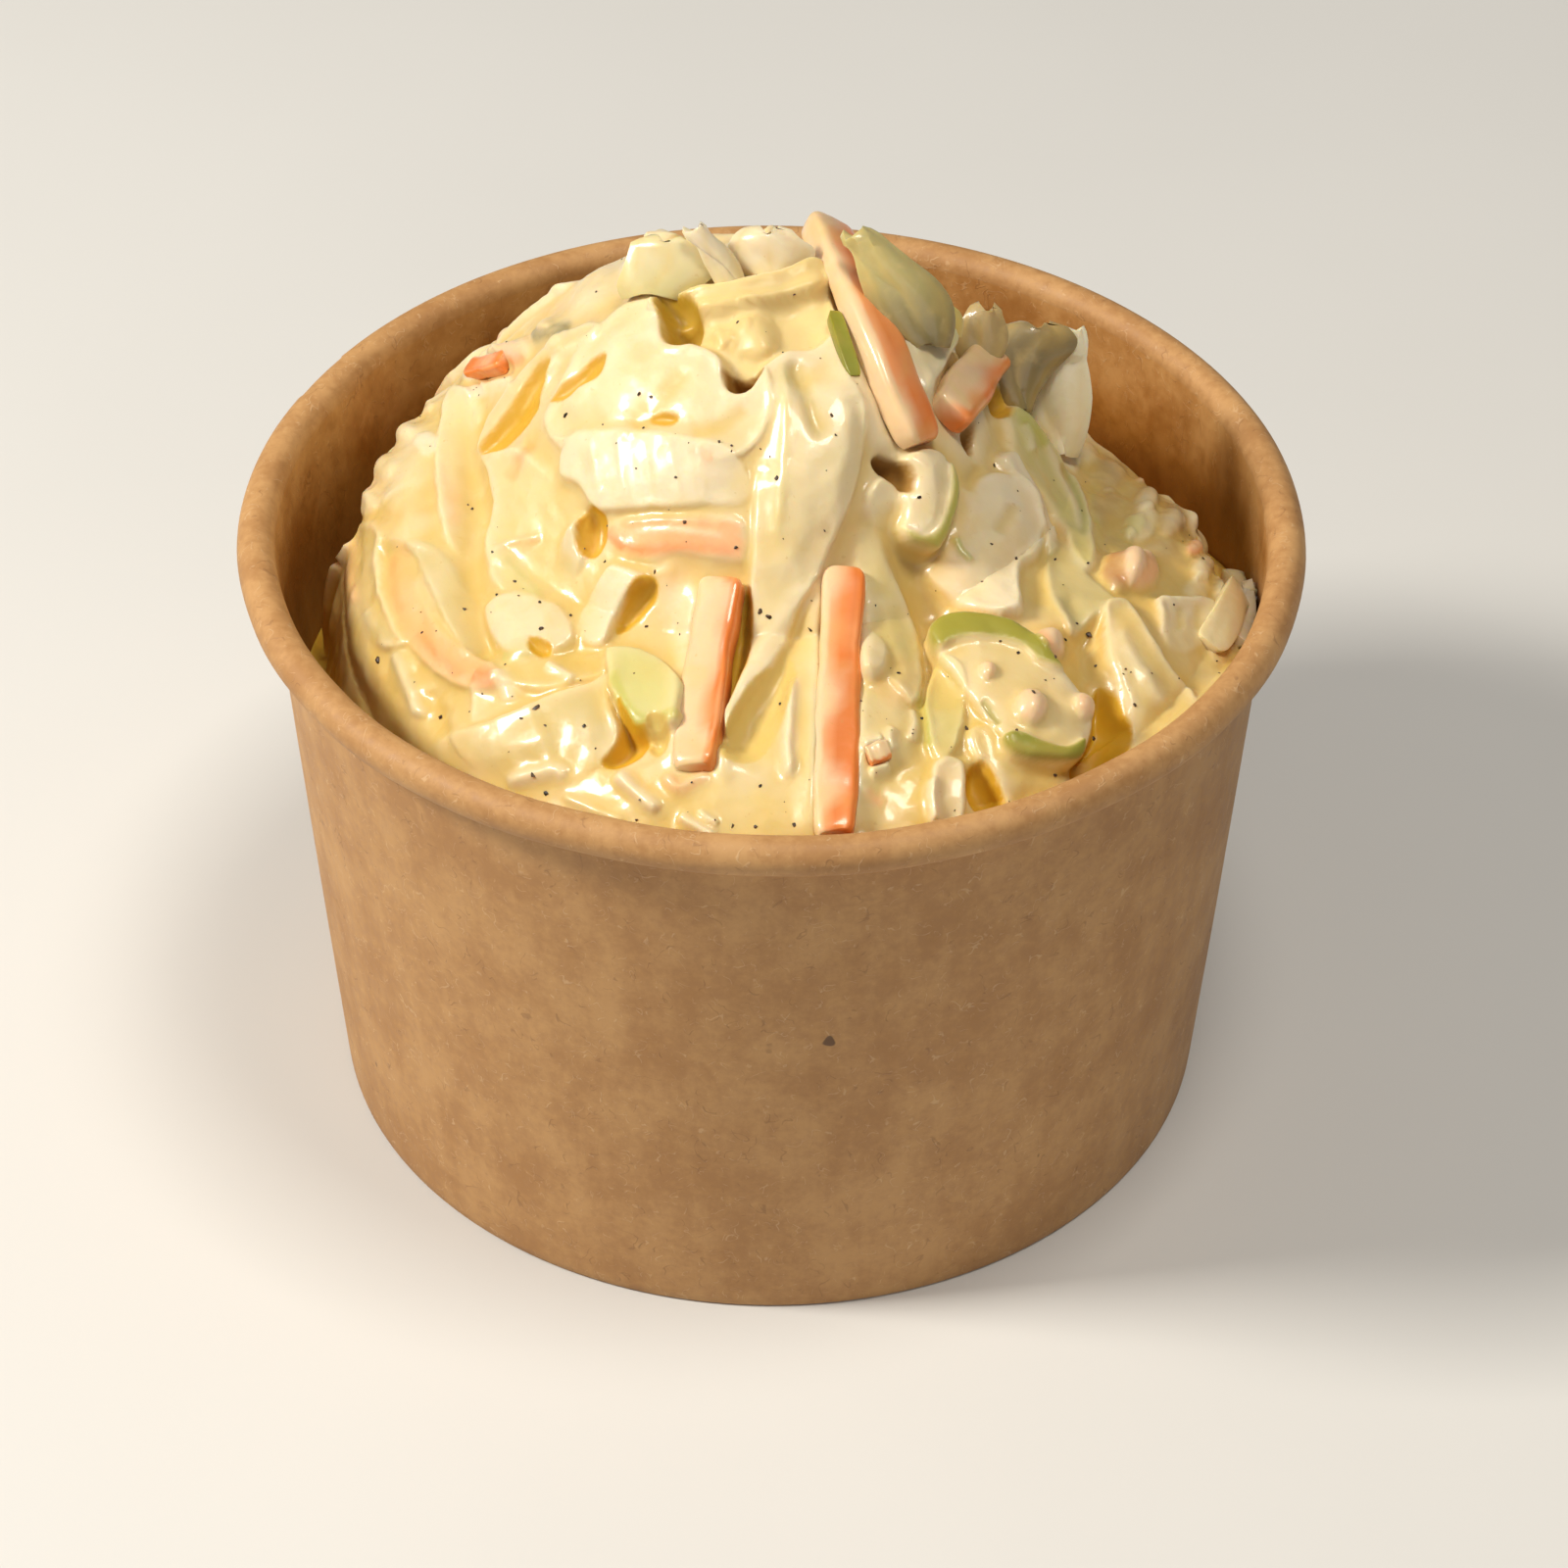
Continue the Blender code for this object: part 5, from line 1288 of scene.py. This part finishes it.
def bar_piece(template, shares, name, rows, half_width, half_thick, roll, tints, coat):
    """A cut stick: a square section with worn edges, rolled about its length, laid along stations."""
    copy = bpy.data.objects.new(name, template.data.copy())
    bpy.context.scene.collection.objects.link(copy)
    s = shares[:, 0] * (1.5 - 0.5 * shares[:, 0] ** 2)
    turn = shares[:, 1] * math.pi
    stations = np.column_stack((rows[:, :2], heap(rows[:, 0], rows[:, 1])))
    stations += heap_normals(rows[:, 0], rows[:, 1], 2.0) * rows[:, 2:]
    reach = np.concatenate(([0.0], np.cumsum(np.linalg.norm(np.diff(stations, axis=0), axis=1))))
    reach = 2 * reach / reach[-1] - 1
    bends = np.polynomial.polynomial.polyfit(reach, stations, 1 if len(rows) < 4 else 2)
    core = np.polynomial.polynomial.polyval(s, bends).T
    heading = np.polynomial.polynomial.polyval(s, np.polynomial.polynomial.polyder(bends)).T
    heading /= np.linalg.norm(heading, axis=1, keepdims=True)
    up = heap_normals(core[:, 0], core[:, 1], 2.0)
    up = 0.25 * up + 0.75 * up.mean(axis=0)
    side = np.cross(up, heading)
    side /= np.linalg.norm(side, axis=1, keepdims=True)
    up = np.cross(heading, side)
    worn = (1 - 0.28 * np.abs(s) ** 30) * (1 + 0.06 * np.sin(4.1 * s + 3 * roll))
    a = half_width * np.sign(np.cos(turn)) * np.abs(np.cos(turn)) ** 0.45 * worn
    b = half_thick * np.sign(np.sin(turn)) * np.abs(np.sin(turn)) ** 0.45 * worn
    x, y = a * math.cos(roll) - b * math.sin(roll), a * math.sin(roll) + b * math.cos(roll)
    places = core + side * x[:, None] + up * y[:, None]
    places += 0.16 * np.array([noise.noise_vector(Vector(row) / 2.6) for row in places])
    reach = np.hypot(places[:, 0], places[:, 1])
    over = np.where(places[:, 2] < CUP_HEIGHT + 2,
                    np.maximum(reach / (inner_limit(np.minimum(places[:, 2], CUP_HEIGHT - 2)) - 0.25), 1.0), 1.0)
    places[:, :2] /= over[:, None]
    move_to(copy, places)
    paint(copy, tints, coat)
    return copy


def carrots(finish):
    """Cut sticks of carrot: bright where they are bare, pink and creamy where the dressing clings."""
    template, shares = bar_template("stick", 30, 28)
    turn = shares[:, 1] * math.pi
    parts = []
    draw = random.Random(11)
    lists = [(from_frame(points), half, thick, roll, cream, spread) for points, half, thick, roll, cream, spread in CARROTS]
    for x, y, heading in scatter_spots(draw, 14, 5.0):
        lists.append((short_row(x, y, heading, draw.uniform(2.5, 6), draw.uniform(-0.4, 0.4), draw.uniform(-0.2, 0.4)),
                      draw.uniform(0.9, 1.4), draw.uniform(0.8, 1.2), draw.uniform(-0.7, 0.7), draw.uniform(0, 360),
                      draw.uniform(60, 150)))
    for k, (rows, half, thick, roll, cream, spread) in enumerate(lists):
        streak = np.array([noise.noise(Vector((9.0 * t, 1.3 * u, k * 3.1))) for u, t in shares])
        patch = np.array([noise.noise(Vector((1.2 * t, 3.0 * u, k * 5.3))) for u, t in shares])
        off = np.abs((turn + roll - math.radians(cream) + math.pi) % math.tau - math.pi) + 0.5 * patch
        cover = 1 - step_up(off, math.radians(spread) - 0.25, math.radians(spread) + 0.25)
        tints = np.tile(np.array(ORANGE), (len(turn), 1)) * (1 + 0.3 * streak)[:, None]
        tints += (np.array(PINK) - tints) * np.clip(0.10 + 0.9 * patch + 0.5 * streak, 0, 0.6)[:, None]
        tints += (np.array((0.80, 0.59, 0.36)) - tints) * (0.86 * cover)[:, None]
        coat = 0.05 + 0.5 * cover
        parts.append(bar_piece(template, shares, f"stick_{k}", rows, half, thick, roll, tints, coat))
    made = joined("carrot_sticks", parts, finish)
    smoothed(made, 50)
    seated(made, "dressed_slaw", "slaw")
    bpy.data.objects.remove(template)
    return made


def standing_leaf(template, shares, name, foot_px, lean, turned, bow, tip, base, sides):
    """A leaf that stands up out of the heap, drawn on a leaning plane as the photograph shows it."""
    copy = bpy.data.objects.new(name, template.data.copy())
    bpy.context.scene.collection.objects.link(copy)
    rows = smooth_loop(sides, False, 3)
    down = (1 - shares[:, 0]) / 2 * (len(rows) - 1)
    low = np.minimum(down.astype(int), len(rows) - 2)
    part = (down - low)[:, None]
    row = rows[low] * (1 - part) + rows[low + 1] * part
    rounded = np.sqrt(1 - np.clip(1 - (1 - shares[:, 0]) / 0.12, 0, 1) ** 2 * 0.7)
    px = (row[:, 0] + row[:, 1]) / 2 + (row[:, 1] - row[:, 0]) / 2 * shares[:, 1] * rounded
    foot = on_heap([foot_px[0]], [foot_px[1]])[0]
    foot = np.array((*foot, float(heap(*foot))))
    face = np.array((turned, -math.sin(math.radians(lean)), math.cos(math.radians(lean))))
    half = FRAME / 2
    rays = np.column_stack(((px - half) / half * HALF_VIEW, (half - row[:, 2]) / half * HALF_VIEW, -np.ones(len(px))))
    rays = rays @ EYE_AXES.T
    places = EYE + rays * (((foot - EYE) @ face) / (rays @ face))[:, None]
    swell = bow * (1 - shares[:, 1] ** 2) + 0.22 * bow * np.sin(5 * shares[:, 1] + 3 * shares[:, 0])
    places += face / np.linalg.norm(face) * swell[:, None]
    move_to(copy, places)
    share = step_up(-shares[:, 0], -0.4, 1.0)[:, None]
    rib = 0.35 * step_up(np.cos(9 * shares[:, 1] + 1.2 * shares[:, 0]), 0.4, 1.0)[:, None]
    tints = np.array(tip) * (1 - share) + np.array(base) * share
    paint(copy, tints * (1 - rib) + np.array(STRAW) * rib, 0.45)
    return copy


def leaves(finish):
    """Coated shreds and slips of leaf that stand clear of the dressing."""
    template, shares = grid("shred", 20, 8)
    draw = random.Random(23)
    parts = [standing_leaf(template, shares, f"standing_{k}", *how) for k, how in enumerate(STANDING)]
    for k, (points, half, tint, curl, tilt) in enumerate(STRIPS):
        tints = np.tile(np.array(tint), (len(shares), 1)) * (1 + 0.08 * shares[:, 1:])
        parts.append(sheet_piece(template, shares, f"slip_{k}", from_frame(points), half, tints,
                                 0.15 if tint in (LIME, GREEN) else 0.6, drape=0.35, curl=curl, tilt=tilt, taper=0.35))
    for k, (x, y, heading) in enumerate(scatter_spots(draw, 44, 3.2)):
        tint = np.array(draw.choice((PALE, WHITE, WHITE, STRAW, CREAM, PALE, LEAF, GREY_LEAF, LIME)))
        tints = np.tile(tint, (len(shares), 1))
        rows = short_row(x, y, heading, draw.uniform(2.5, 6.5), draw.uniform(-0.6, 0.6), draw.uniform(0.0, 0.7))
        parts.append(sheet_piece(template, shares, f"shred_{k}", rows, draw.uniform(0.9, 2.3), tints,
                                 draw.uniform(0.2, 0.7), drape=0.8, curl=draw.uniform(-0.15, 0.3),
                                 tilt=draw.uniform(-0.3, 0.3), taper=0.6))
    made = joined("leaf_shreds", parts, finish)
    apply_modifier(made, "SOLIDIFY", thickness=0.9 * MM, offset=-1)
    apply_modifier(made, "BEVEL", width=0.32 * MM, segments=2, limit_method="ANGLE", angle_limit=math.radians(60))
    smoothed(made, 60)
    seated(made, "dressed_slaw", "slaw")
    bpy.data.objects.remove(template)
    return made


def pepper(relief, finish):
    """Coarse ground pepper pressed into the dressing: the grains that show from the front, then fine ones all round."""
    deselect()
    bpy.ops.mesh.primitive_ico_sphere_add(subdivisions=1, radius=1.0)
    template = bpy.context.object
    ball = placed(template)
    draw = random.Random(31)
    grains = []
    shown = np.where(relief.seen > 0.5, 0.0, 1e6)
    for px, py, size in PEPPER:
        at = int(np.argmin((relief.made_px - px) ** 2 + (relief.made_py - py) ** 2 + shown))
        grains.append((at, size * 0.1))
    crown = np.flatnonzero(relief.made[:, 2] > 52)
    for _ in range(170):
        grains.append((int(crown[draw.randrange(len(crown))]), draw.choice((0.12, 0.15, 0.18, 0.22, 0.3, 0.45))))
    parts = []
    for k, (at, size) in enumerate(grains):
        copy = bpy.data.objects.new(f"grain_{k}", template.data.copy())
        bpy.context.scene.collection.objects.link(copy)
        up = relief.normals[at]
        side = np.cross(up, (draw.uniform(-1, 1), draw.uniform(-1, 1), 0.1))
        side /= np.linalg.norm(side)
        ahead = np.cross(up, side)
        broad, slim = size * 0.5, size * draw.uniform(0.25, 0.45)
        knobs = np.array([draw.uniform(0.45, 1.25) for _ in ball])[:, None]
        lumpy = ball * knobs
        places = (relief.made[at] + side * lumpy[:, :1] * broad + ahead * lumpy[:, 1:2] * slim
                  + up * (lumpy[:, 2:] * size * 0.22 + 0.02))
        move_to(copy, places)
        parts.append(copy)
    made = joined("pepper_grains", parts, finish)
    seated(made, "dressed_slaw", "slaw")
    bpy.data.objects.remove(template)
    return made


def soft_light(name, place, target, size, power, colour):
    data = bpy.data.lights.new(name, "AREA")
    data.shape = "RECTANGLE"
    data.size, data.size_y = size
    data.energy = power
    data.color = colour
    lamp = bpy.data.objects.new(name, data)
    bpy.context.scene.collection.objects.link(lamp)
    lamp.location = place
    lamp.rotation_euler = (Vector(target) - Vector(place)).to_track_quat("-Z", "Y").to_euler()


def studio():
    deselect()
    bpy.ops.mesh.primitive_plane_add(size=6.0, location=(0, 0, 0))
    floor = bpy.context.object
    floor.name = "floor"
    finish = Finish("pale_floor", roughness=0.7)
    finish.set("Base Color", finish.mix(finish.noise(60, 3, 0.5), (0.66, 0.65, 0.63), (0.70, 0.69, 0.67)))
    floor.data.materials.append(finish.material)
    world = bpy.data.worlds.new("room")
    bpy.context.scene.world = world
    world.use_nodes = True
    world.node_tree.nodes["Background"].inputs["Color"].default_value = (0.9, 0.95, 1.0, 1.0)
    world.node_tree.nodes["Background"].inputs["Strength"].default_value = 0.15
    soft_light("key", (-0.50, -0.08, 0.50), (0, 0, 0.05), (0.15, 0.15), 4.8, (1.0, 0.95, 0.86))
    soft_light("above", (0.12, -0.10, 0.75), (0, 0, 0.05), (0.20, 0.20), 2.6, (1.0, 0.94, 0.84))
    soft_light("front", (0.15, -0.80, 0.40), (0, 0, 0.04), (0.7, 0.4), 1.0, (1.0, 0.95, 0.88))
    scene = bpy.context.scene
    scene.view_settings.view_transform = "Standard"
    camera = bpy.data.cameras.new("camera")
    camera.lens, camera.sensor_width = LENS, SENSOR
    camera.clip_start = 0.01
    eye = bpy.data.objects.new("camera", camera)
    scene.collection.objects.link(eye)
    eye.location = EYE_PLACE * MM
    eye.rotation_mode = "QUATERNION"
    eye.rotation_quaternion = EYE_TURN
    scene.camera = eye


def main():
    outside = kraft("kraft_outside", (0.52, 0.288, 0.112), (0.39, 0.193, 0.066), False)
    inside_paper = kraft("kraft_inside", (0.53, 0.285, 0.100), (0.42, 0.200, 0.060), True)
    slaw = dressed("dressed_salad", 0.35, 0.45, 0.8)
    crisp = dressed("dressed_carrot", 0.55, 0.30, 1.0, 0.6)
    paper_wall(outside, inside_paper)
    paper_base(outside)
    relief = dressing(slaw)
    carrots(crisp)
    leaves(slaw)
    pepper(relief, ground_pepper("ground_pepper"))
    studio()


main()
